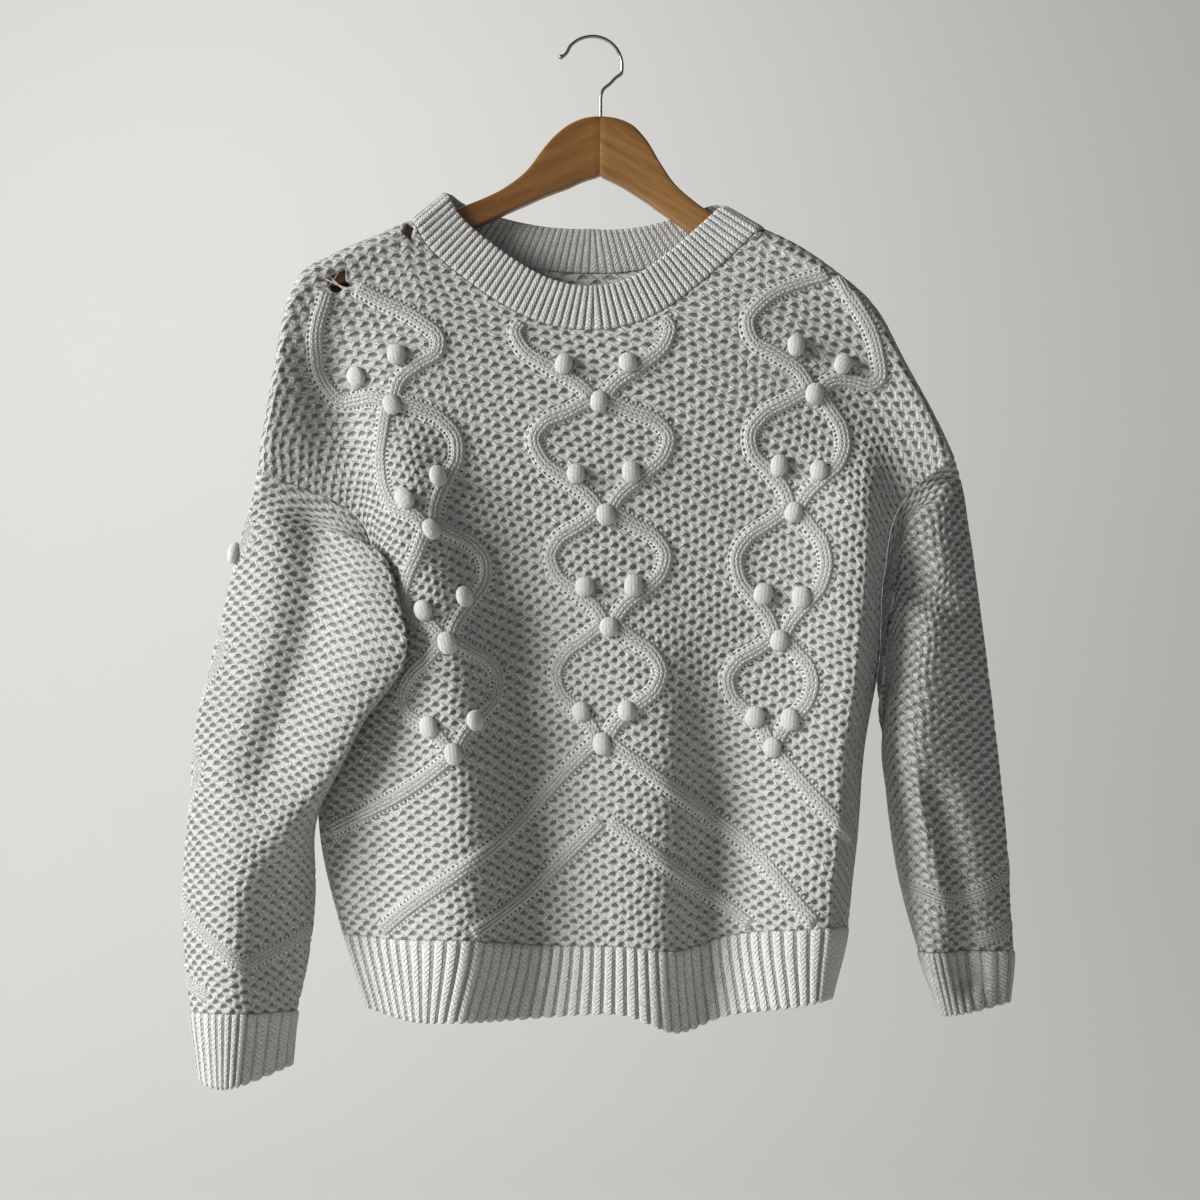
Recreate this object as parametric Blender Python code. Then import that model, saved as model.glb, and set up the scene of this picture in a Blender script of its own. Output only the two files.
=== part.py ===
"""Cable-knit pullover hung on a wooden hanger with a wire hook.

The cloth is a set of cut pieces: front, back, two sleeves, and ribbed neckband, welts and cuffs.
Each piece is a wall over one smooth surface, read from tables with a row for each course or ring.
The tables give places as they are seen from the front, in millimetres across and up from the
underside of the hook's crown, which is the origin. X is to the right, -Y to the front, Z up.
"""

import math
from typing import NamedTuple

import bmesh
import bpy
import numpy as np
from mathutils import Vector
from mathutils.geometry import delaunay_2d_cdt

MM = 0.001
GAP = 0.3
HALF_GAP = GAP / 2

# Where the piece is seen from: a point that stands nearer is drawn in towards this line of sight.
EYE_X = 9.0
EYE_Z = -421.5
EYE_DISTANCE = 1250.0

# Cloth.
HALF_WIDTH = 300.0
CLOTH_THICKNESS = 3.0
RIB_THICKNESS = 3.0
RIB_RELIEF = 2.2
WELT_DEPTH = 58.0
SHOULDER_POINT = 450.0
SHOULDER_RISE = 118.0
UNDERARM = 210.0
SHOULDER_BOW = 1.5
NECK_HALF_WIDTH = 110.0
FRONT_NECK_HEIGHT = 450.0
BACK_NECK_HEIGHT = 487.0
NECK_CURVE = 2.6
NECKBAND_HEIGHT = 34.0
NECKBAND_INSET_LEFT = 21.0
NECKBAND_INSET_RIGHT = 29.0
NECKBAND_LEAN = 5.0

# Rolls of cloth over the hanger and the drop below it.
SHOULDER_ROLL = 10.0
SHOULDER_DROP = 110.0
ROLL_FADE = 60.0
NECK_WRAP = 1.6
BACK_FORWARD = -6.0
BACK_EVENS_OUT = 160.0
LEFT_TURN = 90.0
RIGHT_TURN = 55.0

# Hanger and hook.
HANGER_REACH = 215.0
HANGER_BOW = 26.0
HANGER_BOW_POWER = 1.6
HANGER_HALF_THICKNESS = 5.5
HANGER_JOINT_X = 9.1
WIRE_RADIUS = 1.25
STEM_FOOT_Z = -78.0

# Knitted relief.
CABLE_HALF_WIDTH = 5.0
CABLE_RELIEF = 3.5
BOBBLE_RADIUS = 7.5
BOBBLE_RELIEF = 7.5
REPEAT = 83.3
DIAMOND_HALF_WIDTH = 52.0
COLUMN_SPACING = 166.0
LAST_CROSSING = 144.0
BOBBLE_PAIR_OFFSET = 23.0
BOBBLE_PAIR_RISE = 27.0
BOBBLE_DROP = 3.0

RIBS_ACROSS_WELT = 36
RIBS_ON_FRONT_NECK = 34
RIBS_ON_BACK_NECK = 22
RIBS_ROUND_CUFF = 22


class Course(NamedTuple):
    """One course of the body: where its seven marked wales are seen, and how far forward it stands."""

    height: float
    left_edge: tuple
    left_outer: tuple
    left_cable: tuple
    middle: tuple
    right_cable: tuple
    right_outer: tuple
    right_edge: tuple
    side_forward: float
    front_forward: float


COURSES = (
    Course(-60, (-166, -729), (-134, -740), (-106, -742), (14, -734), (136, -732), (162, -727), (181, -719), 17, 44),
    Course(0, (-184, -672), (-142, -676), (-94, -677), (15, -681), (128, -670), (161, -669), (193, -666), 18, 46),
    Course(72, (-201, -598), (-150, -603), (-98, -608), (14, -606), (135, -600), (168, -600), (202, -603), 18, 46),
    Course(144, (-200, -532), (-152, -539), (-101, -534), (11, -526), (139, -529), (172, -532), (207, -536), 17, 45),
    Course(228, (-184, -472), (-150, -463), (-106, -450), (16, -438), (144, -448), (182, -452), (218, -470), 15, 44),
    Course(311, (-162, -422), (-147, -395), (-119, -365), (13, -354), (155, -352), (193, -362), (222, -403), 14, 42),
    Course(394, (-178, -354), (-172, -310), (-148, -272), (8, -270), (170, -264), (208, -286), (238, -345), 16, 40),
    Course(450, (-248, -324), (-214, -248), (-173, -215), (4, -219), (178, -210), (227, -257), (275, -315), 24, 38),
    Course(500, (-280, -294), (-234, -174), (-192, -167), (3, -168), (182, -177), (236, -216), (309, -286), 28, 34),
    Course(530, (-298, -275), (-244, -142), (-199, -139), (2, -138), (190, -152), (242, -190), (332, -268), 30, 30),
)
# How far each side of the armhole stands from the side line: (height, half the opening).
ARMHOLE_GAPE = ((210, 0), (228, 6), (311, 16), (394, 14), (450, 0))
MARKED_WALES = np.array([-300.0, -235.0, -166.0, 0.0, 166.0, 235.0, 300.0])


class Fold(NamedTuple):
    """A ridge (forward above zero) or trough (below zero) that runs down the cloth."""

    path: tuple
    width_left: float
    width_right: float
    forward: float
    fade_top: float
    fade_bottom: float


FRONT_FOLDS = (
    Fold(((-147, -262), (-130, -376), (-106, -452), (-98, -526), (-92, -616), (-98, -742)), 38, 34, 21, 90, 0),
    Fold(((-60, -324), (-52, -436), (-45, -534), (-36, -609), (-40, -684), (-51, -750)), 34, 40, -11, 130, 0),
    Fold(((39, -392), (57, -496), (50, -609), (56, -676), (60, -750)), 48, 26, 8, 120, 0),
    Fold(((84, -436), (88, -512), (96, -586), (90, -646), (84, -750)), 22, 34, -19, 150, 0),
    Fold(((200, -300), (198, -422), (190, -526), (176, -616), (164, -722)), 50, 30, 7, 60, 0),
    Fold(((-204, -200), (-184, -286), (-168, -322), (-150, -390)), 24, 24, -12, 60, 60),
    Fold(((-165, -560), (-160, -640), (-150, -700)), 22, 22, -5, 50, 40),
)
BACK_FOLDS = (
    Fold(((-90, -330), (-100, -520), (-95, -750)), 40, 40, -7, 120, 0),
    Fold(((30, -380), (20, -560), (30, -750)), 36, 36, 6, 120, 0),
    Fold(((120, -330), (125, -520), (118, -750)), 38, 38, -7, 120, 0),
)


class Ring(NamedTuple):
    """One ring of a sleeve: (across, up, forward) of its outer fold, front, crest, underarm line and back."""

    along: float
    outer: tuple
    front: tuple
    crest: tuple
    underarm: tuple
    back: tuple


LEFT_RINGS = (
    Ring(28, (-254, -356, 26), (-212, -365, 48), (-152, -393, 60), (-191, -493, 20), (-216, -414, -2)),
    Ring(62, (-261, -382, 25), (-216, -399, 54), (-139, -433, 70), (-197, -504, 21), (-224, -444, -4)),
    Ring(100, (-269, -417, 22), (-220, -433, 56), (-138, -463, 72), (-202, -520, 20), (-235, -470, -6)),
    Ring(145, (-281, -466, 20), (-231, -482, 56), (-165, -500, 68), (-205, -541, 16), (-244, -508, -8)),
    Ring(190, (-293, -518, 18), (-244, -530, 54), (-188, -542, 62), (-208, -567, 11), (-254, -545, -9)),
    Ring(245, (-298, -575, 16), (-257, -578, 52), (-216, -580, 58), (-206, -598, 6), (-257, -580, -10)),
    Ring(290, (-303, -622, 15), (-272, -624, 50), (-242, -622, 55), (-204, -632, 3), (-261, -624, -10)),
    Ring(330, (-304, -662, 14), (-280, -665, 47), (-252, -665, 52), (-206, -665, 2), (-262, -665, -10)),
    Ring(370, (-302, -703, 14), (-280, -705, 45), (-255, -705, 50), (-212, -703, 2), (-262, -703, -9)),
    Ring(400, (-298, -730, 14), (-280, -732, 41), (-256, -732, 46), (-218, -729, 4), (-262, -730, -7)),
    Ring(453, (-291, -783, 12), (-278, -789, 38), (-261, -787, 42), (-223, -771, 4), (-261, -782, -6)),
)
RIGHT_RINGS = (
    Ring(28, (280, -333, 26), (260, -346, 50), (238, -373, 46), (220, -508, 20), (256, -422, -4)),
    Ring(60, (285, -362, 26), (264, -380, 55), (234, -414, 40), (220, -518, 18), (256, -452, -5)),
    Ring(96, (290, -399, 24), (266, -422, 56), (232, -459, 40), (222, -528, 14), (258, -474, -6)),
    Ring(140, (298, -466, 22), (260, -482, 56), (226, -506, 44), (222, -545, 10), (260, -496, -8)),
    Ring(185, (304, -519, 20), (253, -530, 55), (231, -532, 48), (224, -564, 6), (262, -538, -9)),
    Ring(235, (310, -572, 18), (256, -574, 50), (244, -574, 47), (226, -588, 3), (264, -575, -10)),
    Ring(280, (314, -616, 17), (268, -618, 46), (247, -618, 44), (232, -626, 2), (270, -618, -10)),
    Ring(318, (316, -654, 16), (275, -656, 42), (250, -656, 42), (240, -658, 1), (275, -656, -10)),
    Ring(348, (318, -684, 15), (279, -686, 36), (256, -686, 38), (248, -684, 2), (279, -684, -8)),
    Ring(398, (315, -724, 13), (286, -732, 34), (268, -734, 34), (265, -729, 6), (286, -729, -6)),
)
RING_STATIONS = np.array([0.0, 0.15, 0.31, 0.5, 0.76])


class Station(NamedTuple):
    """One upright cut through the open part of a hanger arm, as seen: its top and bottom edges."""

    across: float
    top: float
    bottom: float


LEFT_ARM = (
    Station(9, -59, -104), Station(-4, -61, -108), Station(-15, -66, -113), Station(-26, -75, -117),
    Station(-36, -87, -121), Station(-45, -99, -125), Station(-61, -112, -132), Station(-92, -126.5, -146),
)
RIGHT_ARM = (
    Station(9, -59, -104), Station(22, -61, -110), Station(32, -65, -116), Station(43, -76, -123),
    Station(54, -94, -131), Station(65, -110, -138), Station(77, -121, -147), Station(96, -134, -158),
)
# Where the arm lies along the shoulder seam: the wale it is under, and how tall it is there.
LEFT_ARM_UNDER_SEAM = ((-114, 22), (-140, 21), (-165, 19), (-184, 15), (-191, 8))
RIGHT_ARM_UNDER_SEAM = ((112, 24), (140, 23), (170, 21), (198, 17), (206, 9))
UNDER_SEAM_GAP = 1.0
UNDER_SEAM_HALF_THICKNESS = 4.2
# The hook's centre line: stem and bend, round over the crown, then the tip, flared out to a small bead.
HOOK_BEND = ((9.5, -78), (9.5, -62), (9.5, -50), (9.7, -43.5), (11.2, -39), (16.3, -34.5), (21, -29.6))
HOOK_CENTRE = (3.2, -21.15)
HOOK_RADIUS = 22.4
HOOK_FROM = math.radians(-14)
HOOK_TO = math.radians(138)
HOOK_STEPS = 14
HOOK_TIP = ((-15.4, -10), (-17.4, -12.6), (-20, -14.1), (-20.6, -14.4), (-22, -15))
BEAD_RADIUS = 1.9

TEARS = ((-162.0, 469.0, 6.0, 4.0), (-117.0, 513.0, 4.2, 3.2))  # across, up the cloth, half sizes
TEAR_CLEARANCE = 9.0
ROLL_LINES = (8.0, 17.0)


def smooth_rows(stations, values, at):
    """Cubic curve through each row's values at the stations, read at one place in each row."""
    gaps = np.diff(stations)
    steps = np.diff(values, axis=1) / gaps[:, None]
    inner = (steps[:, :-1] * gaps[1:, None] + steps[:, 1:] * gaps[:-1, None]) / (gaps[1:] + gaps[:-1])[:, None]
    slopes = np.concatenate([steps[:, :1], inner, steps[:, -1:]], axis=1)
    index = np.clip(np.searchsorted(stations, at, side="right") - 1, 0, len(stations) - 2)
    rows = np.arange(len(at))
    gap = gaps[index][:, None]
    part = ((at - stations[index])[:, None] / gap).clip(-0.5, 1.5)
    first, second = values[rows, index], values[rows, index + 1]
    slope_a, slope_b = slopes[rows, index] * gap, slopes[rows, index + 1] * gap
    square, cube = part**2, part**3
    return (
        (2 * cube - 3 * square + 1) * first
        + (cube - 2 * square + part) * slope_a
        + (3 * square - 2 * cube) * second
        + (cube - square) * slope_b
    )


def smooth(stations, values, at):
    """The same cubic where every place reads one shared row of values."""
    values = np.asarray(values, float)
    wide = values.reshape(1, len(stations), -1)
    at = np.asarray(at, float)
    return smooth_rows(np.asarray(stations, float), np.repeat(wide, len(at), axis=0), at)


def ease(part):
    """Zero to one with level ends."""
    part = np.clip(part, 0.0, 1.0)
    return part * part * (3 - 2 * part)


def placed(across, up, forward):
    """The real place of a point seen at (across, up) that stands this far forward."""
    share = (EYE_DISTANCE - forward) / EYE_DISTANCE
    return np.stack([EYE_X + (across - EYE_X) * share, -forward, EYE_Z + (up - EYE_Z) * share], axis=-1)


def hanger_forward(across):
    """How far forward the bowed hanger stands at this distance across."""
    return HANGER_BOW * (np.abs(across) / HANGER_REACH) ** HANGER_BOW_POWER


def fold_forward(folds, across, up):
    """What the folds add: a bell across each fold's path, faded at its two ends."""
    total = np.zeros_like(across)
    for fold in folds:
        path = np.array(fold.path, float)[::-1]
        centre = smooth(path[:, 1], path[:, 0], up.clip(path[0, 1], path[-1, 1]))[:, 0]
        off = across - centre
        width = np.where(off < 0, fold.width_left, fold.width_right)
        shown = np.ones_like(across)
        if fold.fade_top:
            shown = shown * ease((path[-1, 1] - up) / fold.fade_top)
        if fold.fade_bottom:
            shown = shown * ease((up - path[0, 1]) / fold.fade_bottom)
        total += fold.forward * np.exp(-((off / width) ** 2)) * shown
    return total


HEIGHTS = np.array([course.height for course in COURSES], float)
SEEN = np.array([[place for place in course[1:8]] for course in COURSES], float)
STANDING = np.array([course[8:] for course in COURSES], float)


def shoulder_height(wale):
    """The height of the shoulder line at a wale, level across the neck."""
    out = (HALF_WIDTH - np.maximum(np.abs(wale), NECK_HALF_WIDTH)) / HALF_WIDTH
    part = out / (1 - NECK_HALF_WIDTH / HALF_WIDTH)
    return SHOULDER_POINT + out * SHOULDER_RISE + SHOULDER_BOW * 4 * part * (1 - part)


def seen_place(wale, height, is_front):
    """Where a stitch is seen. Below the shoulders the back's wales hang evenly apart."""
    rows = smooth(HEIGHTS, SEEN.reshape(len(COURSES), -1), height).reshape(-1, 7, 2)
    seen = smooth_rows(MARKED_WALES, rows, wale)
    if is_front:
        return seen
    share = (wale / HALF_WIDTH)[:, None]
    side = np.where(share < 0, rows[:, 0], rows[:, 6])
    even = rows[:, 3] + (side - rows[:, 3]) * np.abs(share) ** np.array([1.0, 1.7])
    return seen + (even - seen) * ease((shoulder_height(wale) - height) / BACK_EVENS_OUT)[:, None]


def body_point(wale, height, is_front):
    """The outer surface of the front or back at (wale, height), in millimetres."""
    wale, height = np.broadcast_arrays(np.asarray(wale, float), np.asarray(height, float))
    shape = wale.shape
    wale, height = wale.ravel(), height.ravel()
    top = shoulder_height(wale)
    drop = top - height
    arc = SHOULDER_ROLL * math.pi / 2
    seen = seen_place(wale, height, is_front)
    crest = seen_place(wale, top, is_front)
    below = seen_place(wale, top - np.clip(drop, -arc, arc), is_front)
    foot = seen_place(wale, top - arc, is_front)
    way = (foot - crest) / np.linalg.norm(foot - crest, axis=1, keepdims=True)
    angle = np.clip(drop / SHOULDER_ROLL, -math.pi / 2, math.pi / 2)
    rolled = crest + way * (SHOULDER_ROLL * (1 - np.cos(angle)))[:, None]
    wrapped = drop + NECK_WRAP * (NECK_HALF_WIDTH - np.abs(wale)).clip(0)
    angle = np.clip(wrapped / SHOULDER_ROLL, -math.pi / 2, math.pi / 2)
    seen = seen + (rolled - below) * (1 - ease((drop - arc) / ROLL_FADE))[:, None]
    across, up = seen[:, 0], seen[:, 1]

    side, front = smooth(HEIGHTS, STANDING, height).T
    at, opening = np.array(ARMHOLE_GAPE, float).T
    gape = smooth(at, opening, height.clip(at[0], at[-1]))[:, 0]
    from_edge = HALF_WIDTH - np.abs(wale)
    turn_length = np.where(wale < 0, LEFT_TURN, RIGHT_TURN)
    turn = np.sin(math.pi / 2 * np.clip(from_edge / turn_length, -1, 1))
    if is_front:
        standing = side + gape + (front - side - gape) * turn + fold_forward(FRONT_FOLDS, across, up) * turn
        over_hanger = hanger_forward(across) + SHOULDER_ROLL * np.sin(angle)
    else:
        standing = side - gape + (BACK_FORWARD - side + gape) * turn + fold_forward(BACK_FOLDS, across, up) * turn
        over_hanger = hanger_forward(across) - SHOULDER_ROLL * np.sin(angle)
    hung = ease(drop / SHOULDER_DROP)
    forward = over_hanger * (1 - hung) + standing * hung
    return placed(across, up, forward).reshape(*shape, 3)


def front_point(wale, height):
    return body_point(wale, height, True)


def back_point(wale, height):
    return body_point(wale, height, False)


def ring_places(rings):
    """Each ring's five marked places in space, as an array of rings by places by axes."""
    seen = np.array([ring[1:] for ring in rings], float)
    return placed(seen[..., 0], seen[..., 1], seen[..., 2])


def round_ring(places, turn):
    """Closed cubic curve through a ring's marked places, read at turns from 0 to 1."""
    stations = np.concatenate([RING_STATIONS[-2:] - 1, RING_STATIONS, RING_STATIONS[:2] + 1])
    closed = np.concatenate([places[-2:], places, places[:2]])
    return smooth(stations, closed, np.mod(turn, 1.0))


def armhole_point(turn, side):
    """The armhole seam: down the front edge from the shoulder point, and up the back edge."""
    turn = np.mod(turn, 1.0)
    down = 1 - np.abs(1 - 2 * turn)
    height = SHOULDER_POINT + (UNDERARM - SHOULDER_POINT) * down
    wale = np.full_like(height, side * HALF_WIDTH)
    front, back = front_point(wale, height), back_point(wale, height)
    return np.where((turn <= 0.5)[:, None], front, back)


def sleeve_point(turn, along, side):
    """The outer surface of a sleeve: turn 0 at its outer fold, 0.5 at the underarm line."""
    turn, along = np.broadcast_arrays(np.asarray(turn, float), np.asarray(along, float))
    shape = turn.shape
    turn, along = turn.ravel(), along.ravel()
    rings = LEFT_RINGS if side < 0 else RIGHT_RINGS
    rows = [armhole_point(turn, side)] + [round_ring(places, turn) for places in ring_places(rings)]
    stations = np.array([0.0] + [ring.along for ring in rings])
    return smooth_rows(stations, np.stack(rows, axis=1), along).reshape(*shape, 3)


def facing(surface, first, second, sign):
    """Unit outward direction of a surface of two lengths, from small steps each way."""
    step = 0.6
    a = surface(first + step, second) - surface(first - step, second)
    b = surface(first, second + step) - surface(first, second - step)
    way = np.cross(a, b) * sign
    return way / np.linalg.norm(way, axis=-1, keepdims=True)


# Knitted relief: cable lines and bobbles, in cloth millimetres.
# A diamond's side: how far down from its upper crossing, and how wide there.
DIAMOND = ((0, 0.09), (0.13, 0.45), (0.27, 0.86), (0.40, 1.0), (0.56, 0.93), (0.72, 0.60), (0.88, 0.24), (1, 0.09))


def diamond_line(column, crossing, side):
    """One side of a diamond, from the crossing above down to the next crossing."""
    part, width = np.array(DIAMOND).T
    return np.stack([column + side * width * DIAMOND_HALF_WIDTH, crossing - part * REPEAT], axis=1)


def slanted_line(start, end, points=9):
    """A straight cable line from one stitch to another."""
    part = np.linspace(0, 1, points)[:, None]
    return np.array(start, float) * (1 - part) + np.array(end, float) * part


def front_cables():
    """The front's cable lines: three columns of diamonds over nested chevrons."""
    lines = []
    for column in (-COLUMN_SPACING, 0.0, COLUMN_SPACING):
        for repeat in range(1, 5):
            crossing = LAST_CROSSING + repeat * REPEAT
            for side in (-1, 1):
                lines.append(diamond_line(column, crossing, side))
    for side in (-1, 1):
        lines.append(slanted_line((side * 4, LAST_CROSSING), (side * 262, 0), 16))
        lines.append(slanted_line((side * 3, 90), (side * 165, 0), 11))
        lines.append(slanted_line((side * (COLUMN_SPACING + 4), 138), (side * 300, 72), 9))
    return lines


def bobble_places(columns, crossings):
    """Three bobbles at each crossing: a pair above and one on it."""
    places = []
    for column in columns:
        for crossing in crossings:
            places.append((column - BOBBLE_PAIR_OFFSET, crossing + BOBBLE_PAIR_RISE))
            places.append((column + BOBBLE_PAIR_OFFSET, crossing + BOBBLE_PAIR_RISE))
            places.append((column, crossing - BOBBLE_DROP))
    return np.array(places, float)


def front_bobbles():
    crossings = [LAST_CROSSING + repeat * REPEAT for repeat in range(4)]
    return bobble_places((-COLUMN_SPACING, 0.0, COLUMN_SPACING), crossings)


def distance_to_lines(points, lines):
    """The shortest distance from each point to any of the lines."""
    nearest = np.full(len(points), 1e9)
    for line in lines:
        for start, end in zip(line[:-1], line[1:]):
            along = end - start
            part = ((points - start) @ along / (along @ along)).clip(0, 1)
            off = points - start - part[:, None] * along
            nearest = np.minimum(nearest, np.hypot(off[:, 0], off[:, 1]))
    return nearest


def relief(points, lines, bobbles):
    """How far the knitting stands out: a ridge along each cable, a dome at each bobble."""
    raised = CABLE_RELIEF * (1 - distance_to_lines(points, lines) / CABLE_HALF_WIDTH).clip(0, 1)
    for bobble in bobbles:
        off = np.hypot(*(points - bobble).T) / BOBBLE_RADIUS
        raised = np.maximum(raised, BOBBLE_RELIEF * np.sqrt((1 - off**2).clip(0, 1)))
    return raised


def inside(points, outline):
    """Whether each point lies inside a closed outline, by counting crossings."""
    x, y = points[:, 0][:, None], points[:, 1][:, None]
    x0, y0 = outline[:, 0], outline[:, 1]
    x1, y1 = np.roll(x0, -1), np.roll(y0, -1)
    spans = (y0 > y) != (y1 > y)
    with np.errstate(divide="ignore", invalid="ignore"):
        cross = x < (x1 - x0) * (y - y0) / (y1 - y0) + x0
    return (spans & cross).sum(axis=1) % 2 == 1


def kept_runs(line, outline, margin, holes=()):
    """The stretches of a line that stay this far inside the outline and well clear of the holes."""
    closed = np.vstack([outline, outline[:1]])
    good = inside(line, outline) & (distance_to_lines(line, [closed]) > margin)
    for hole in holes:
        good &= distance_to_lines(line, [hole]) > TEAR_CLEARANCE
    runs, run = [], []
    for point, ok in zip(line, good):
        if ok:
            run.append(point)
        elif run:
            runs.append(run)
            run = []
    if run:
        runs.append(run)
    return [np.array(run) for run in runs if len(run) > 1]


def beside(line, offset):
    """A line moved sideways."""
    way = np.gradient(line, axis=0)
    way /= np.linalg.norm(way, axis=1, keepdims=True)
    return line + np.stack([-way[:, 1], way[:, 0]], axis=1) * offset


def triangulated(outline, holes, lines, spots):
    """Triangles over an outline, with every line as edges. Returns points, triangles and rim indices."""
    points, edges = [], []

    def add(chain, is_closed):
        start = len(points)
        points.extend(Vector(map(float, point)) for point in chain)
        links = [(start + i, start + i + 1) for i in range(len(chain) - 1)]
        edges.extend(links + ([(start + len(chain) - 1, start)] if is_closed else []))

    for loop in [outline, *holes]:
        add(loop, True)
    rim_count = len(points)
    for line in lines:
        add(line, False)
    points.extend(Vector(map(float, spot)) for spot in spots)
    made = delaunay_2d_cdt(points, edges, [], 0, 1e-4, True)
    flat = np.array([list(point) for point in made[0]])
    triangles = np.array([list(face) for face in made[2]])
    middle = flat[triangles].mean(axis=1)
    keep = inside(middle, outline)
    for hole in holes:
        keep &= ~inside(middle, hole)
    rim = np.full(rim_count, -1)
    for new, old in enumerate(made[3]):
        for index in old:
            if index < rim_count:
                rim[index] = new
    return flat, triangles[keep], rim


def fill_spots(outline, lines, bobbles, step_across, step_up, clear):
    """Evenly spread points inside the outline, clear of every line and bobble."""
    low, high = outline.min(axis=0), outline.max(axis=0)
    columns = np.linspace(low[0], high[0], int(round((high[0] - low[0]) / step_across)) + 1)
    rows = np.linspace(low[1], high[1], int(round((high[1] - low[1]) / step_up)) + 1)
    spots = np.array([(x, y) for y in rows for x in columns])
    spots = spots[inside(spots, outline)]
    closed = np.vstack([outline, outline[:1]])
    spots = spots[distance_to_lines(spots, [closed]) > clear]
    if len(lines):
        spots = spots[distance_to_lines(spots, lines) > clear]
    for bobble in bobbles:
        spots = spots[np.hypot(*(spots - bobble).T) > BOBBLE_RADIUS + clear]
    return spots


def circle(centre, radius, count, squash=1.0):
    """A closed ring of points in the cloth."""
    angle = np.arange(count) * 2 * math.pi / count
    return np.array(centre) + np.stack([np.cos(angle) * radius, np.sin(angle) * radius * squash], axis=1)


def new_object(name, mesh, material, collection):
    """A named object with its material, shaded smooth across shallow edges."""
    mesh.materials.append(material)
    mesh.shade_smooth()
    mesh.set_sharp_from_angle(angle=math.radians(28))
    made = bpy.data.objects.new(name, mesh)
    collection.objects.link(made)
    return made


def closed_mesh(name, points, faces):
    """A mesh in metres from points in millimetres, its faces turned outwards."""
    mesh = bpy.data.meshes.new(name)
    mesh.from_pydata((points * MM).tolist(), [], [list(map(int, face)) for face in faces])
    work = bmesh.new()
    work.from_mesh(mesh)
    bmesh.ops.delete(work, geom=[v for v in work.verts if not v.link_faces], context="VERTS")
    bmesh.ops.recalc_face_normals(work, faces=work.faces)
    if work.calc_volume(signed=True) < 0:
        bmesh.ops.reverse_faces(work, faces=work.faces)
    work.to_mesh(mesh)
    work.free()
    return mesh


def seam_directions(wales, heights):
    """Inward directions where front and back meet: midway between theirs, level front to back."""
    ways = -facing(front_point, wales, heights, 1) - facing(back_point, wales, heights, -1)
    flat = ways * np.array([1.0, 0.0, 1.0])
    return flat / np.linalg.norm(flat, axis=-1, keepdims=True)


def rim_quad(points, a, b, c, d):
    """Two triangles over a rim's four corners, split so that the wall draws back from its neighbour."""
    rise = np.dot(np.cross(points[b] - points[a], points[c] - points[a]), points[d] - points[a])
    if rise > 0:
        return [(a, b, c), (a, c, d)]
    return [(a, b, d), (b, c, d)]


def panel_mesh(name, surface, sign, outline, edge_ways, holes, lines, bobbles, steps, creases=(), glued=None):
    """A knitted wall: relief on its outer face, a plain inner face, and a rim round each edge.

    edge_ways are the inward directions at the outline's points, shared with the piece sewn on
    there. creases are lines that both faces follow. glued pairs outline points that are one and
    the same, down a tube's join.
    """
    outer_step, inner_step = steps
    creases = list(creases)
    closed = np.vstack([outline, outline[:1]])
    walls = [np.vstack([hole, hole[:1]]) for hole in holes]
    drawn = []
    for line in lines:
        for offset in (-CABLE_HALF_WIDTH, 0.0, CABLE_HALF_WIDTH):
            drawn += kept_runs(beside(line, offset), outline, 3.0, walls)
    rings = []
    for bobble in bobbles:
        for share in (1.0, 0.78):
            ring = circle(bobble, BOBBLE_RADIUS * share, 8)
            rings.append(np.vstack([ring, ring[:1]]))
    clear = CABLE_HALF_WIDTH + 4.0
    spots = fill_spots(outline, lines + walls + creases, bobbles, *outer_step, clear)
    spots = np.vstack([spots, np.asarray(bobbles).reshape(-1, 2)])
    flat, triangles, rim = triangulated(outline, holes, drawn + rings + creases, spots)
    runs = [run for line in lines for run in kept_runs(line, outline, 3.0, walls)]
    raised = relief(flat, runs, bobbles)
    raised *= (distance_to_lines(flat, [closed, *walls]) / 6.0).clip(0, 1)
    ways = facing(surface, flat[:, 0], flat[:, 1], sign)
    outer = surface(flat[:, 0], flat[:, 1]) + ways * raised[:, None]

    plain_spots = fill_spots(outline, walls + creases, [], *inner_step, 8.0)
    plain, plain_triangles, plain_rim = triangulated(outline, holes, creases, plain_spots)
    inward = -facing(surface, plain[:, 0], plain[:, 1], sign)
    inward[plain_rim[: len(outline)]] = edge_ways
    inner = surface(plain[:, 0], plain[:, 1]) + inward * CLOTH_THICKNESS

    points = np.vstack([outer, inner])
    joined = np.arange(len(points))
    if glued is not None:
        for kept, dropped in glued:
            joined[rim[dropped]] = rim[kept]
            joined[len(outer) + plain_rim[dropped]] = len(outer) + plain_rim[kept]
    faces = [tuple(face) for face in joined[triangles]]
    faces += [tuple(face[::-1]) for face in joined[len(outer) + plain_triangles]]
    skipped = set() if glued is None else {index for pair in glued for index in pair}
    start = 0
    for loop in [outline, *holes]:
        for i in range(len(loop)):
            a, b = start + i, start + (i + 1) % len(loop)
            if a in skipped and b in skipped:
                continue
            quad = (rim[b], rim[a], len(outer) + plain_rim[a], len(outer) + plain_rim[b])
            if sign < 0:
                quad = quad[::-1]
            faces += rim_quad(points, *(joined[index] for index in quad))
        start += len(loop)
    return closed_mesh(name, points, faces)


def neck_height(wale, is_front):
    """The neckline's height at a wale."""
    low = FRONT_NECK_HEIGHT if is_front else BACK_NECK_HEIGHT
    top = shoulder_height(NECK_HALF_WIDTH)
    return low + (top - low) * (np.abs(wale) / NECK_HALF_WIDTH) ** NECK_CURVE


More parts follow.
